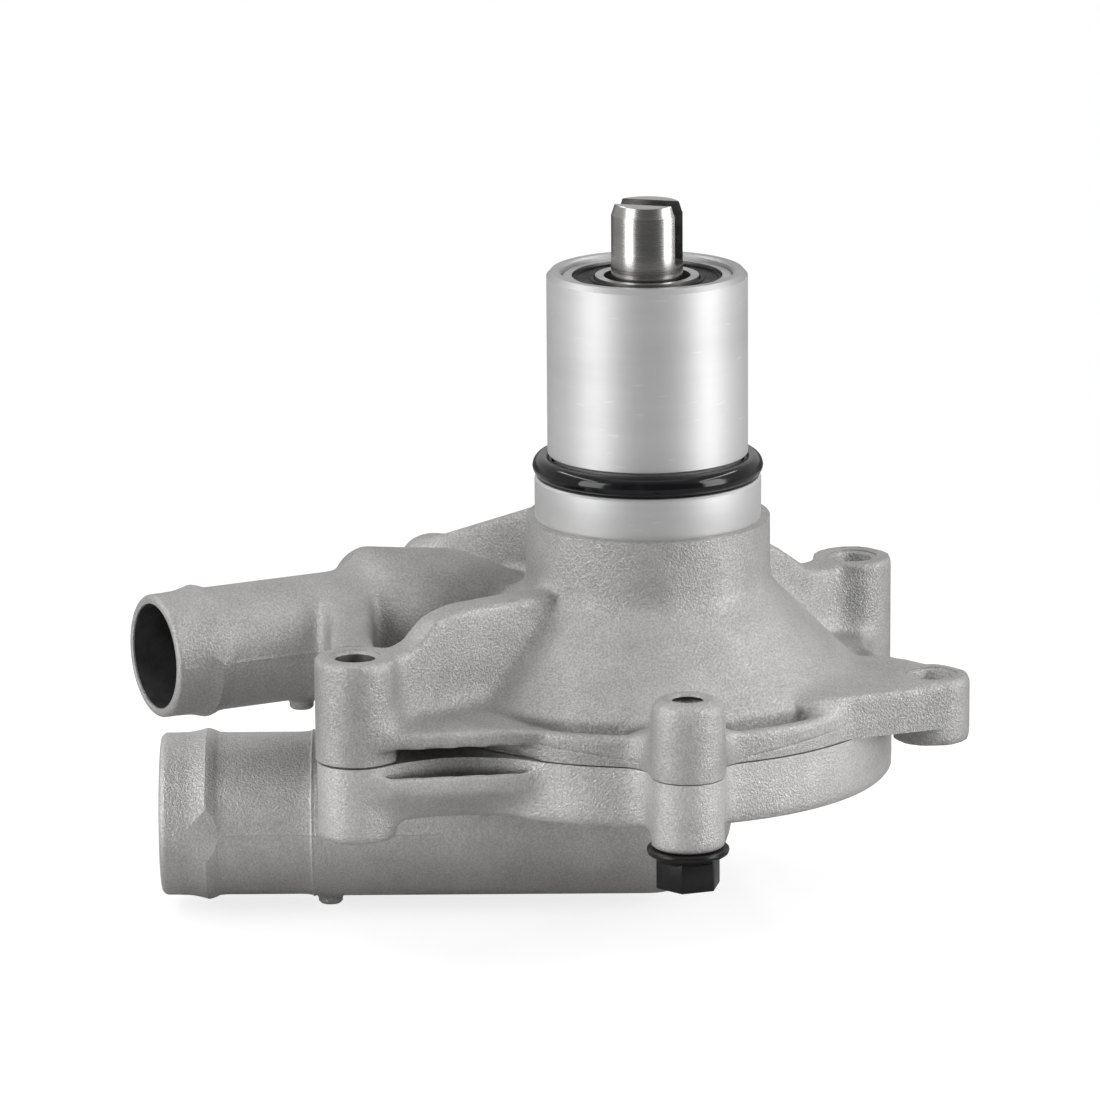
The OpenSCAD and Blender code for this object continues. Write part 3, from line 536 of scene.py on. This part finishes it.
def cast_skin(bm, fillets, passes, worn, dent=None):
    """Turns a sharp solid into a casting: even faces, filled inner corners, softened edges."""
    bm = modified(bm, "REMESH", mode="VOXEL", voxel_size=VOXEL * MM, adaptivity=0.0)
    bm.verts.ensure_lookup_table()
    at = np.array([v.co for v in bm.verts])
    edges = np.array([(e.verts[0].index, e.verts[1].index) for e in bm.edges])
    quads = np.array([[v.index for v in f.verts][:4] for f in bm.faces])
    count = len(at)
    valence = np.bincount(edges.ravel(), minlength=count)[:, None]

    def lean():
        """From each point to the middle of its neighbours."""
        total = np.zeros_like(at)
        for axis in range(3):
            total[:, axis] = (np.bincount(edges[:, 0], at[edges[:, 1], axis], count)
                              + np.bincount(edges[:, 1], at[edges[:, 0], axis], count))
        return total / valence - at

    def outwards():
        cross = np.cross(at[quads[:, 2]] - at[quads[:, 0]], at[quads[:, 3]] - at[quads[:, 1]])
        total = np.zeros_like(at)
        for corner in range(4):
            for axis in range(3):
                total[:, axis] += np.bincount(quads[:, corner], cross[:, axis], count)
        return total / np.maximum(np.linalg.norm(total, axis=1), 1e-12)[:, None]

    if dent is not None:
        at[:, 2] += dent(at / MM, outwards()) * MM
    free, edge = fillets(at / MM)[:, None], worn(at / MM)[:, None]
    for _ in range(EVEN_PASSES):
        at += EVEN_IN * lean()
        at -= EVEN_OUT * lean()
    for step in range(passes):
        if step % NORMAL_EVERY == 0:
            normal = outwards()
        way = lean()
        along = (way * normal).sum(axis=1, keepdims=True)
        slide = way - along * normal
        at += free * (np.where(along > 0, FILL, edge) * along * normal + SLIDE * slide)
    for v, co in zip(bm.verts, at):
        v.co = co
    return bm


def ridge(bm, co, normal, reach, push):
    """Raises a fine cast line where a plane crosses the casting, by push(point) in millimetres."""
    for offset in (-reach, reach, 0):
        everything = bm.verts[:] + bm.edges[:] + bm.faces[:]
        place = Vector(co) * MM + Vector(normal) * offset * MM
        cut = bmesh.ops.bisect_plane(bm, geom=everything, dist=1e-8, plane_co=place,
                                     plane_no=normal)
    bm.normal_update()
    line = [g for g in cut["geom_cut"] if isinstance(g, bmesh.types.BMVert)]
    for v in line:
        amount = push(v.co / MM, v.normal)
        if amount:
            v.co += v.normal * amount * MM


def drill(bm, centre, r, z0, z1, chamfer=0.35, top=None, bottom=None):
    """Takes a hole out of a casting, with a small chamfer at the ends that are given."""
    points = [(0, z0), (r, z0), (r, z1), (0, z1)]
    if top is not None:
        points[3:] = [(r, top - chamfer), (r + chamfer + 0.4, top + 0.4), (0, top + 0.4)]
        del points[2]
    if bottom is not None:
        points[0:2] = [(0, bottom - 0.4), (r + chamfer + 0.4, bottom - 0.4), (r, bottom + chamfer)]
    return cut_away(bm, lathe(points, 48, centre))


def face_off(bm, centre, r, z, height=6):
    """Planes a boss flat at height z, upwards or, with a negative height, downwards."""
    low, high = sorted((z, z + height))
    return cut_away(bm, rod(centre, r, low, high, 64))


# ---- helpers for the hose pipes ----------------------------------------------------------
def pipe_distance(at, tip, offset, z, turn):
    """Distance of points from a pipe's axis, and how far inwards they are from its mouth."""
    c, s = math.cos(math.radians(turn)), math.sin(math.radians(turn))
    along = at[:, 0] * c + at[:, 1] * s
    across = -at[:, 0] * s + at[:, 1] * c - offset
    return np.hypot(across, at[:, 2] - z), along + tip


def on_pipe(bm, tip, offset, z, turn):
    """Moves a bmesh from the origin to a hose pipe's mouth, with its Z axis going inwards."""
    for angle, axis, way in ((90, "Y", (-tip, offset, z)), (turn, "Z", (0, 0, 0))):
        rotate(bm, angle, axis)
        move(bm, *way)
    return bm


def mouth_tool(r_out, r_bore, bevel, depth, tip, offset, z, turn):
    """Cutter that faces a hose pipe's mouth, shapes its bead and lip and bores it."""
    lip = [(r_out - bevel * (1 - math.sin(a)), bevel * (1 - math.cos(a)))
           for a in np.radians((0, 20, 40, 60, 80, 92))]
    start, crest, end = BEAD
    bead = [(r_out + 0.02 + 0.66 * (((d - start) / (crest - start)) ** 1.7 if d < crest else
                                    math.cos((d - crest) / (end - crest) * math.pi / 2) ** 2), d)
            for d in np.linspace(start, end, 28)]
    bm = lathe([(0, -4), (r_out + 3, -4), (r_out + 3, end)] + bead[::-1] + lip[::-1]
               + [(r_bore + 0.25, 0), (r_bore + 0.05, 0.08), (r_bore, 0.3), (r_bore, depth),
                  (0, depth)], 128)
    return on_pipe(bm, tip, offset, z, turn)


def pipe_block(depth, side, height, angle, tip, offset, z, turn):
    """Flat cutter beside a hose pipe, from its mouth to a depth, turned about the pipe's axis."""
    bm = block(-1, depth, side, side + 4, -height, height)
    rotate(bm, angle, "X")
    move(bm, -tip, offset, z)
    rotate(bm, turn)
    return bm


# ---- body casting ------------------------------------------------------------------------
def rim_groove(at):
    """Where the groove between the dome and the rim lies, on both sides of the front bolt."""
    radius, turn = from_axis(at), np.degrees(np.arctan2(at[:, 1], at[:, 0]))
    left = ramp(turn, -131, -121) * ramp(-turn, 91.5, 95)
    right = ramp(turn, -73.5, -70) * ramp(-turn, 42, 49)
    return (left + right) * ramp(radius, 28, 30) * ramp(-radius, -35, -34.5) * ramp(at[:, 2], 2, 3)


def rim_dent(at, normal):
    """How far points that face upwards sink into the groove at the rim."""
    radius = from_axis(at)
    hollow = 0.75 * np.exp(-((radius - 31.2) / 1.5) ** 2) + 0.4 * ramp(radius, 30.9, 32.5)
    return -hollow * rim_groove(at) * ramp(normal[:, 2], -0.2, 0.5)


def body_fillets(at):
    """How strongly corners fill and edges wear, from 0 on faces that stay."""
    radius = from_axis(at)
    roof = 5.2 + np.maximum(29.7 - radius, 0) - 2.0
    inside = ((radius < 29.3) & (at[:, 2] < roof) & (radius > 16)) | (radius < 15)
    bore, depth = pipe_distance(at, *OUTLET)
    free = np.where(inside, 0.0, 1.0) * ramp(bore, OUTLET_BORE + 0.3, OUTLET_BORE + 0.8)
    free *= 0.1 + 0.9 * ramp(depth, 9, 12)
    free *= ramp(NECK_TOP - at[:, 2], -0.2, 0.8)
    free *= ramp(np.maximum(from_axis(at, OUTLET_PEG), at[:, 2] * 0.8), 2.2, 3.2)
    saddle = ramp(-from_axis(at, SADDLE), -13, -8) * ramp(at[:, 2], 3, 4)
    saddle += ramp(-from_axis(at, OUTLET_WEB), -15, -10) * ramp(at[:, 2], 3, 4)
    boss = ramp(-from_axis(at, FRONT_BOLT), -10, -8)
    neck = ramp(at[:, 2], 14, 17) * ramp(-radius, -26, -22)
    free *= np.clip(0.4 + 0.6 * saddle + 1.1 * boss - 0.25 * neck, 0, 1.4)
    under_web = (from_axis(at, FRONT_HOLLOW) < 19.5) & (at[:, 2] < 3)
    return free * (1 - 0.9 * rim_groove(at)) * np.where(under_web, 0.1, 1.0)


def body_worn(at):
    """How far outer edges round off: most of all at the top of the front bolt boss."""
    crown = ramp(-from_axis(at, FRONT_BOLT), -7.5, -6) * ramp(at[:, 2], 7.5, 9)
    web = ramp(-from_axis(at, OUTLET_WEB), -13, -9) * ramp(at[:, 2], 4, 6)
    return 0.03 + 0.1 * crown + 0.2 * web


def build_body():
    """The body below the snout as cast, solid where it is bored later."""
    bm = cad_copy("pump_body")
    cut_flat(bm, 29)
    bmesh.ops.recalc_face_normals(bm, faces=bm.faces)
    plugs = [rod((0, 0), NECK_R, 26.5, 30.5, 96)]
    for centre, r, low, high in ((FRONT_BOSS, 3.6, -1.4, 14.65), (BACK_BOSS, 3.6, -1.4, 14.95),
                                 (FRONT_BOLT, 2.6, -1.4, 11.05), (EAR, 3.0, -2.45, 6.75)):
        plugs.append(rod(centre, r, low, high))
    pipe = lathe([(0, -2), (OUTLET_R - 0.02, -2), (OUTLET_R - 0.02, 3), (OUTLET_BORE + 0.4, 3),
                  (OUTLET_BORE + 0.4, 24), (0, 24)], 96)
    plugs.append(on_pipe(pipe, *OUTLET))
    bm = join([bm, slab("pump_body", 0.02, -1.6, 0.2)] + plugs)
    bm = cast_skin(bm, body_fillets, 56, body_worn, rim_dent)
    cut_flat(bm, NECK_TOP)
    return bm


def finish_body(bm):
    """The body with its cast lines, and with all that is machined on it."""
    def pipe_line(co, normal):
        gap, depth = pipe_distance(np.array([co]), *OUTLET)
        return 0.13 if 8.2 < gap[0] < 9.8 and 0.8 < depth[0] < 28 else 0

    def flash_line(x_start, x_end):
        def push(co, normal):
            outside = math.hypot(co.x, co.y) > 31.5 and abs(normal.z) < 0.5 and co.y < -15
            fade = min(co.x - x_start, x_end - co.x) / 4
            return -0.08 * max(0, min(1, fade)) if outside else 0
        return push

    ridge(bm, (0, 0, OUTLET_Z), (0, 0, 1), 0.14, pipe_line)
    ridge(bm, (3, 0, 0.47), (0.103, 0, 0.995), 0.12, flash_line(-20, -0.5))
    ridge(bm, (11.4, 0, 0.6), (-0.103, 0, 0.995), 0.12, flash_line(10.5, 28))
    for tilt in (21, 159):
        bm = cut_away(bm, pipe_block(12, OUTLET_R + 0.04, 6, tilt, *OUTLET))
    bm = added(bm, lathe([(0, 0.7), (1.45, 0.7), (1.7, 1), (1.7, 5), (0, 5)], 40, OUTLET_PEG))
    under = cut_away(block(-60, 60, -50, 50, -4, 0.1), rod(EAR, 5.32, -5, 1, 64))
    bm = cut_away(bm, under, mouth_tool(OUTLET_R, OUTLET_BORE, 0.7, 23.5, OUTLET_TIP - 0.1,
                                        *OUTLET[1:]))
    for centre, top in ((FRONT_BOSS, FRONT_BOSS_TOP), (BACK_BOSS, BACK_BOSS_TOP), (EAR, EAR_TOP)):
        bm = face_off(bm, centre, 5.15, top)
        bm = face_off(bm, centre, 3.55, top - SPOT_FACE)
    bm = face_off(bm, FRONT_BOLT, 3.4, FRONT_BOLT_TOP)
    bm = face_off(bm, EAR, 5.2, EAR_FOOT, -2)
    bm = drill(bm, FRONT_BOSS, HOLE_R, -1, 16, top=FRONT_BOSS_TOP - SPOT_FACE)
    bm = drill(bm, BACK_BOSS, HOLE_R, -1, 16, top=BACK_BOSS_TOP - SPOT_FACE)
    bm = drill(bm, EAR, HOLE_R, -3, 8, top=EAR_TOP - SPOT_FACE, bottom=EAR_FOOT)
    bm = drill(bm, FRONT_BOLT, 2.15, -1, 12, top=FRONT_BOLT_TOP)
    bm = cut_away(bm, threaded(2.2, 2.55, -1, FRONT_BOLT_TOP - 0.4, FRONT_BOLT))
    return cut_away(bm, lathe([(4.9, -0.1), (6.4, -0.1), (6.4, 0.36), (5.2, 0.26)], 64, FRONT_BOSS))


def body_bores(at, normal):
    """Which faces are inside the outlet or a hole of the front bosses, and take the painted bore
    shade.
    """
    gap, depth = pipe_distance(at, *OUTLET)
    inside = (gap < OUTLET_BORE + 0.06) & (depth > 0.4) & (depth < 26)
    for hole in (FRONT_BOSS, FRONT_BOLT):
        inside |= (from_axis(at, hole) < HOLE_R + 0.1) & (np.abs(normal[:, 2]) < 0.3)
    return inside


def on_outlet_bead(at):
    """Whether a place is on the outlet's bead, whose crest stays sharp."""
    gap, depth = pipe_distance(np.array([at]), *OUTLET)
    return OUTLET_R < gap[0] < OUTLET_R + 0.8 and 3 < depth[0] < 9


# ---- cover casting -----------------------------------------------------------------------
def cover_fillets(at):
    """The cover's body_fillets."""
    radius = from_axis(at)
    inside = (radius < 31) & (at[:, 2] > -6)
    bore, depth = pipe_distance(at, *INLET)
    free = np.where(inside, 0.0, 1.0) * ramp(bore, INLET_BORE + 0.3, INLET_BORE + 0.9)
    free *= 0.1 + 0.9 * ramp(depth, 9, 12)
    free *= 0.15 + 0.85 * np.maximum(ramp(at[:, 2], -8, -6.6), ramp(-at[:, 2], 9.6, 10.6))
    free *= np.where((np.abs(depth - 21.2) < 1.2) & (bore > 10.5), 0.12, 1.0)
    free *= np.where((from_axis(at, FRONT_HOLLOW) < 19) & (at[:, 2] > -3.2), 0.1, 1.0)
    return free * ramp(np.maximum(from_axis(at, INLET_PEG), (at[:, 2] + 26) * 0.8), 2.2, 3.2)


def build_cover():
    """The cover, cast and then machined."""
    plugs = []
    for centre in (FRONT_BOSS, BACK_BOSS):
        plugs.append(rod(centre, 3.6, -4.1, 1.5))
        plugs.append(rod(centre, 3.0, MOUNT_FOOT, 0))
    for centre in (FRONT_BOLT, BACK_BOLT):
        plugs.append(rod(centre, 3.0, BOLT_FOOT, 1.5))
    pipe = lathe([(0, -2), (INLET_R - 0.02, -2), (INLET_R - 0.02, 3), (INLET_BORE + 0.4, 3),
                  (INLET_BORE + 0.4, 30), (0, 30)], 96)
    plugs.append(on_pipe(pipe, *INLET))
    bm = join([cad_copy("pump_cover"), slab("pump_cover", -0.02, -0.2, 1.5)] + plugs)
    bm = cast_skin(bm, cover_fillets, 32, lambda at: np.full(len(at), 0.02))

    def pipe_line(co, normal):
        return 0.09 if -INLET_TIP + 0.8 < co.x < -30 and 10.8 < abs(co.y) < 12.3 else 0

    def collar_line(co, normal):
        return 0.16 if 10.8 < math.hypot(co.y, co.z - INLET_Z) < 13 and co.y < 4 else 0

    ridge(bm, (0, 0, INLET_Z), (0, 0, 1), 0.14, pipe_line)
    ridge(bm, (21.4 - INLET_TIP, 0, 0), (1, 0, 0), 0.3, collar_line)
    for side in (0, 180):
        bm = cut_away(bm, pipe_block(12, INLET_R + 0.04, 7, side, *INLET))
    bm = added(bm, lathe([(0, -28.75), (1.4, -28.75), (1.7, -28.45), (1.7, -25), (0, -25)], 40,
                         INLET_PEG))
    bm = cut_away(bm, block(-60, 60, -60, 50, -0.1, 4), block(-60, -30, -10, 10, -34, -28.745),
                  mouth_tool(INLET_R, INLET_BORE, 1, 29.5, *INLET))
    bm = added(bm, lathe([(28, -5), (28, -8.47), (33.75, -8.47), (34.06, -8.1), (34.06, -5)], 192))
    for centre in (FRONT_BOLT, BACK_BOLT):
        bm = added(bm, lathe([(0, -9.83), (4.6, -9.83), (4.97, -9.5), (4.97, -0.5), (0, -0.5)],
                             64, centre))
    pocket = rod(FRONT_HOLLOW, 17.05, -3.6, 1, 128)
    edge = block(-40, 40, -40, 0, -6, 2)
    rotate(edge, SHELF_TURN)
    move(edge, *SHELF_AT, 0)
    bm = cut_away(bm, cut_away(pocket, edge))
    for centre in (FRONT_BOSS, BACK_BOSS):
        bm = face_off(bm, centre, 5.3, MOUNT_FOOT, -3)
        bm = drill(bm, centre, HOLE_R, -12, 1, bottom=MOUNT_FOOT)
    for centre in (FRONT_BOLT, BACK_BOLT):
        bm = face_off(bm, centre, 5.6, BOLT_FOOT, -3)
        bm = drill(bm, centre, HOLE_R, -12, 1)
    return bm


def cover_bores(at, normal):
    """Which faces are inside the inlet, and take the painted bore shade."""
    gap, depth = pipe_distance(at, *INLET)
    return (gap < INLET_BORE + 0.06) & (depth > 0.4) & (depth < 32)


def on_inlet_bead(at):
    """Whether a place is on the inlet's bead."""
    gap, depth = pipe_distance(np.array([at]), *INLET)
    return INLET_R < gap[0] < INLET_R + 0.8 and 3 < depth[0] < 9


# ---- snout, shaft and ring ---------------------------------------------------------------
def build_snout():
    """The turned snout with the ring's groove and the bearings' bore."""
    c = 0.3
    return lathe([
        (9, NECK_TOP), (SHOULDER_R - 0.1, NECK_TOP), (SHOULDER_R, NECK_TOP + c),
        (SHOULDER_R, SHOULDER_TOP - c), (SHOULDER_R - c, SHOULDER_TOP), (GROOVE_R, SHOULDER_TOP),
        (GROOVE_R, SNOUT_Z), (SNOUT_R - c, SNOUT_Z), (SNOUT_R, SNOUT_Z + c),
        (SNOUT_R, SNOUT_TOP - 0.7), (SNOUT_R - 0.6, SNOUT_TOP),
        (BEARING_R + 0.3, SNOUT_TOP), (BEARING_R, SNOUT_TOP - 0.3),
        (BEARING_R, 38), (8.2, 38), (8.2, 36), (9, 36)
    ], 192)


def top_faces(at, normal):
    """Which faces are on the snout's top, and take its darker finish that is partly painted shade.
    """
    return (at[:, 2] > SNOUT_TOP - 0.75) & (normal[:, 2] > 0.3)


def build_shaft():
    """The stepped shaft with its cross slot and the hole in its foot."""
    bm = lathe([
        (0, SHAFT_Z), (4.6, SHAFT_Z), (5, SHAFT_Z + 0.4), (5, LOWER_Z), (5.7, LOWER_Z),
        (6, LOWER_Z + 0.3), (6, LOWER_Z + 6), (7, LOWER_Z + 6), (7, UPPER_Z), (6, UPPER_Z),
        (6, UPPER_Z + 3), (5.7, UPPER_Z + 3.3), (5, UPPER_Z + 3.3), (5, SHAFT_TOP - 1.5),
        (4.9, SHAFT_TOP - 1.3), (4.55, SHAFT_TOP - 0.1), (4.45, SHAFT_TOP), (0, SHAFT_TOP)
    ], 144)
    slot = softened(block(-9, 9, -2, 2, SHAFT_TOP - 8.4, SHAFT_TOP + 2), 0.5, 3, 60)
    rotate(slot, SLOT_TURN)
    return cut_away(bm, slot, rod((0, 0), THREAD_R, SHAFT_Z - 1, SHAFT_Z + 12))


def slot_faces(at, normal):
    """Which faces are inside the slot, and take the painted slot shade."""
    c, s = math.cos(math.radians(SLOT_TURN)), math.sin(math.radians(SLOT_TURN))
    return (at[:, 2] > SHAFT_TOP - 8.6) & (np.abs(at[:, 1] * c - at[:, 0] * s) < 2.02)


def build_ring():
    """The snout's ring, with the fine line that its mould leaves round its middle."""
    bm = bmesh.new()
    bmesh.ops.create_circle(bm, segments=48, radius=1.5 * MM)
    for v in bm.verts:
        v.co = Vector((v.co.x + (GROOVE_R + 1.5) * MM, 0, v.co.y + (SHOULDER_TOP + 1.5) * MM))
        if abs(v.co.z - (SHOULDER_TOP + 1.5) * MM) < 1e-6:
            v.co.x += math.copysign(0.03 * MM, v.co.x - (GROOVE_R + 1.5) * MM)
    bmesh.ops.spin(bm, geom=bm.verts[:] + bm.edges[:], cent=(0, 0, 0), axis=(0, 0, 1),
                   angle=math.tau, steps=160, use_merge=True)
    bmesh.ops.remove_doubles(bm, verts=bm.verts, dist=1e-7)
    bmesh.ops.recalc_face_normals(bm, faces=bm.faces)
    return bm


# ---- bearings and bolts ------------------------------------------------------------------
def build_bearing_seals():
    """Rubber shields of both bearings, dished, with a thick lip on the inner race."""
    parts = []
    for z in (UPPER_Z, LOWER_Z):
        for low in (z + 0.3, z + 5.0):
            up = 1 if low > z + 3 else -1
            base = low + (0 if up > 0 else 0.7)
            points = [(10.4, 0), (10.4, 0.62), (10.3, 0.7), (10.0, 0.7), (9.85, 0.5), (8.1, 0.5),
                      (7.95, 0.66), (7.5, 0.66), (7.28, 0.4), (7.28, 0)]
            parts.append(lathe([(r, base + up * h) for r, h in points], 96))
    return join(parts)


def build_races():
    """Rings of the upper bearing, with rounded corners and ball tracks, the outer one first."""
    rings = []
    for out, round_r, r_seat, r_lip, r_land in ((1, 0.6, BEARING_R, 10.45, 9.9),
                                                (-1, 0.12, 6, 7.2, 8.05)):
        half = [(r_seat - out * round_r * (1 - math.cos(a)), 3 - round_r * (1 - math.sin(a)))
                for a in np.radians((0, 30, 60, 90))]
        half += [(r_lip, 3), (r_lip, 1.95), (r_land, 1.9)]
        half += [(r_land + out * 0.65 * math.cos(a), 1.6 * math.sin(a))
                 for a in np.radians((80, 40))]
        whole = half + [(r_land + out * 0.65, 0)] + [(r, -z) for r, z in half[::-1]]
        rings.append(lathe([(r, UPPER_Z + 3 + z) for r, z in whole], 144))
    return rings


def race_bore(at, normal):
    """Which faces are on the inner race's bore, and take the painted bore shade."""
    return (from_axis(at) < 6.1) & (np.abs(normal[:, 2]) < 0.7)


def flange_bolt(centre, seat, turn):
    """Flange bolt with its head below the seat, domed and bevelled, and a real thread."""
    head = bmesh.new()
    bmesh.ops.create_cone(head, cap_ends=True, segments=6, radius1=HEX_R * MM, radius2=HEX_R * MM,
                          depth=4.6 * MM)
    rotate(head, turn)
    bmesh.ops.translate(head, verts=head.verts, vec=(0, 0, -3.3 * MM))
    head = softened(head, 0.22, 3)
    head = cut_away(head, lathe([(0, -7), (7, -7), (7, -4.6), (4.35, -5.75), (0, -5.75)], 64))
    flange = lathe([(0, -0.05), (5.45, -0.05), (5.6, -0.2), (5.64, -0.45), (5.5, -0.85),
                    (4.6, -1.45), (4.3, -1.8), (0, -1.8)], 96)
    bm = join([head, flange, rod((0, 0), 2.45, -1, 1.5),
               threaded(2.05, THREAD_R, 1.5, 19.4)])
    move(bm, *centre, seat)
    return bm


# ---- the pieces, each with what it stands for --------------------------------------------
# the castings, races and shaft take painted shade as their second finish; the snout's top takes a
# darker finish that is partly painted shade
casting = piece("body_casting", choose_faces(finish_body(build_body()), body_bores), BODY, "housing",
                SHADED_BORES)
crisp(casting, 50, on_outlet_bead)
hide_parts("pump_body")
snout = piece("machined_snout", choose_faces(build_snout(), top_faces), TURNED, "housing",
              FACED_AND_SHADED)
crisp(snout)
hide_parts("pump_body")
cover = piece("cover_piece", choose_faces(build_cover(), cover_bores), COVER, "housing",
              SHADED_BORES)
crisp(cover, 50, on_inlet_bead)
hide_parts("pump_cover")
shaft = piece("slotted_shaft", choose_faces(build_shaft(), slot_faces), GROUND, "rotor",
              SLOT_SHADE)
crisp(shaft, 25)
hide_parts("drive_shaft")
ring = piece("snout_ring", build_ring(), RING_RUBBER, "housing")
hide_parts("snout_oring")
shields = piece("bearing_shields", build_bearing_seals(), SHIELD_RUBBER, "housing")
crisp(shields, 40)
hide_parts("upper_bearing_seals", "lower_bearing_seals")
for ring_name, body_name, solid in zip(("outer", "inner"), ("housing", "rotor"), build_races()):
    race = piece("fine_%s_race" % ring_name, choose_faces(solid, race_bore), BEARING, body_name,
                 SHADED_BORES)
    crisp(race, 40)
    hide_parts("upper_%s_race" % ring_name)
bolts = piece("flange_bolts", join([flange_bolt(FRONT_BOLT, BOLT_SEAT, HEX_TURN),
                                    flange_bolt(BACK_BOLT, BOLT_SEAT, HEX_TURN)]),
              BLACKENED, "housing")
crisp(bolts, 28)
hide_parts("cover_bolts")

# ---- camera ------------------------------------------------------------------------------
VIEW_FROM = Vector((-13.7, -1018, 273)) * MM
VIEW_TO = Vector((-13.7, 0, 22.2)) * MM
ROLL = -0.4                         # in degrees
FRAME_PIXELS, PIXELS_PER_MM = 1100, 7.158       # the frame's width, and its scale at VIEW_TO
SENSOR = 36                         # in millimetres
look = (VIEW_TO - VIEW_FROM).normalized()
right = look.cross(Vector((0, 0, 1))).normalized()
turn = (Matrix((right, right.cross(look), -look)).transposed()
        @ Matrix.Rotation(math.radians(ROLL), 3, "Z"))
camera_data = bpy.data.cameras.new("camera")
camera_data.sensor_width = SENSOR
camera_data.lens = SENSOR * PIXELS_PER_MM * (VIEW_TO - VIEW_FROM).length / MM / FRAME_PIXELS
camera = bpy.data.objects.new("camera", camera_data)
camera.matrix_world = Matrix.LocRotScale(VIEW_FROM, turn.to_quaternion(), None)
bpy.context.collection.objects.link(camera)
bpy.context.scene.camera = camera
bpy.context.scene.view_settings.view_transform = "Standard"


# ---- world -------------------------------------------------------------------------------
class Studio(Finish):
    """The world: a dim room, dark behind the viewer, with a white backdrop where it is seen."""

    def __init__(self):
        self.material = bpy.data.worlds.new("studio")
        self.material.use_nodes = True
        self.tree = self.material.node_tree

    def light(self, strength):
        return self.node("ShaderNodeBackground", {}, {"Color": (1, 1, 1), "Strength": strength})

    def choose(self, factor, a, b):
        return self.node("ShaderNodeMixShader", {}, {0: factor, 1: a, 2: b})


studio = Studio()
toward = studio.node("ShaderNodeTexCoord", {}, {}, "Generated")
back, height = (studio.split(toward, axis) for axis in "YZ")
room = back.smooth(-0.8, -0.3, 0.13, 0.5)       # darkest behind the viewer
room = room * back.smooth(0.6, 0.85, 1, 0.3)    # and darker again straight ahead
room = room * height.smooth(-0.7, 0.1, 0.3, 1)  # and below
seen = studio.node("ShaderNodeLightPath", {}, {}, "Is Camera Ray")
mirrored = studio.node("ShaderNodeLightPath", {}, {}, "Is Glossy Ray")
clear = studio.node("ShaderNodeLightPath", {}, {}, "Is Transmission Ray")
glow = back.smooth(0.5, 0.95) * height.smooth(0.02, 0.15) * 0.6
backdrop = (seen + (mirrored + clear) * glow).clamp()
whole = studio.choose(backdrop, studio.light(room), studio.light(1.0))
studio.tree.links.new(whole.socket, studio.tree.nodes["World Output"].inputs[0])
bpy.context.scene.world = studio.material


# ---- floor and lamps ---------------------------------------------------------------------
FLOOR_X, FLOOR_Z, FLOOR_R = -14, -28.95, 300    # its middle and radius, in millimetres


def build_floor():
    """Pale round floor that fades out at its edge and isn't seen from below."""
    bm = bmesh.new()
    bmesh.ops.create_circle(bm, cap_ends=True, segments=128, radius=FLOOR_R * MM)
    bmesh.ops.translate(bm, verts=bm.verts, vec=(FLOOR_X * MM, 0, FLOOR_Z * MM))
    mesh = bpy.data.meshes.new("floor")
    bm.to_mesh(mesh)
    bm.free()
    floor = bpy.data.objects.new("floor", mesh)
    bpy.context.collection.objects.link(floor)
    m = Finish("pale_floor")
    at = m.coords()
    x, y = m.split(at, "X") - FLOOR_X * MM, m.split(at, "Y")
    edge = (x * x + y * y).smooth(0.02, 0.08)   # in square metres
    seen = m.node("ShaderNodeLightPath", {}, {}, "Is Camera Ray")
    under = m.node("ShaderNodeNewGeometry", {}, {}, "Backfacing")
    m.set(Base_Color=m.mix(seen, (0.52, 0.52, 0.52), (0.42, 0.42, 0.42)), Roughness=0.9,
          Specular_IOR_Level=0.0, Emission_Strength=1.0,
          Emission_Color=m.mix(seen, (0.0, 0.0, 0.0), (0.78, 0.78, 0.78)),
          Alpha=(1 - edge) * (1 - under))
    mesh.materials.append(m.material)


def softbox(name, place, size, watts, aim=(0, 0, 0.02)):
    """Soft rectangular lamp, with its places and sizes in metres."""
    lamp = bpy.data.lights.new(name, "AREA")
    lamp.shape = "RECTANGLE"
    lamp.size, lamp.size_y, lamp.energy = size[0], size[1], watts
    obj = bpy.data.objects.new(name, lamp)
    way = Vector(aim) - Vector(place)
    obj.matrix_world = Matrix.LocRotScale(Vector(place), way.to_track_quat("-Z", "Y"), None)
    bpy.context.collection.objects.link(obj)


build_floor()
softbox("left_box", (-0.9, -0.53, 0.12), (0.5, 1.2), 8)
softbox("right_box", (0.975, -0.36, 0.12), (0.45, 1.2), 8.2)
softbox("top_box", (0, 0.1, 1.1), (0.9, 0.7), 0.8)
softbox("left_strip", (-0.75, 0.1, 0.8), (1.1, 0.08), 2.2, (0, 0, 0.03))
softbox("right_strip", (0.75, 0.1, 0.8), (1.1, 0.08), 2.2, (0, 0, 0.03))
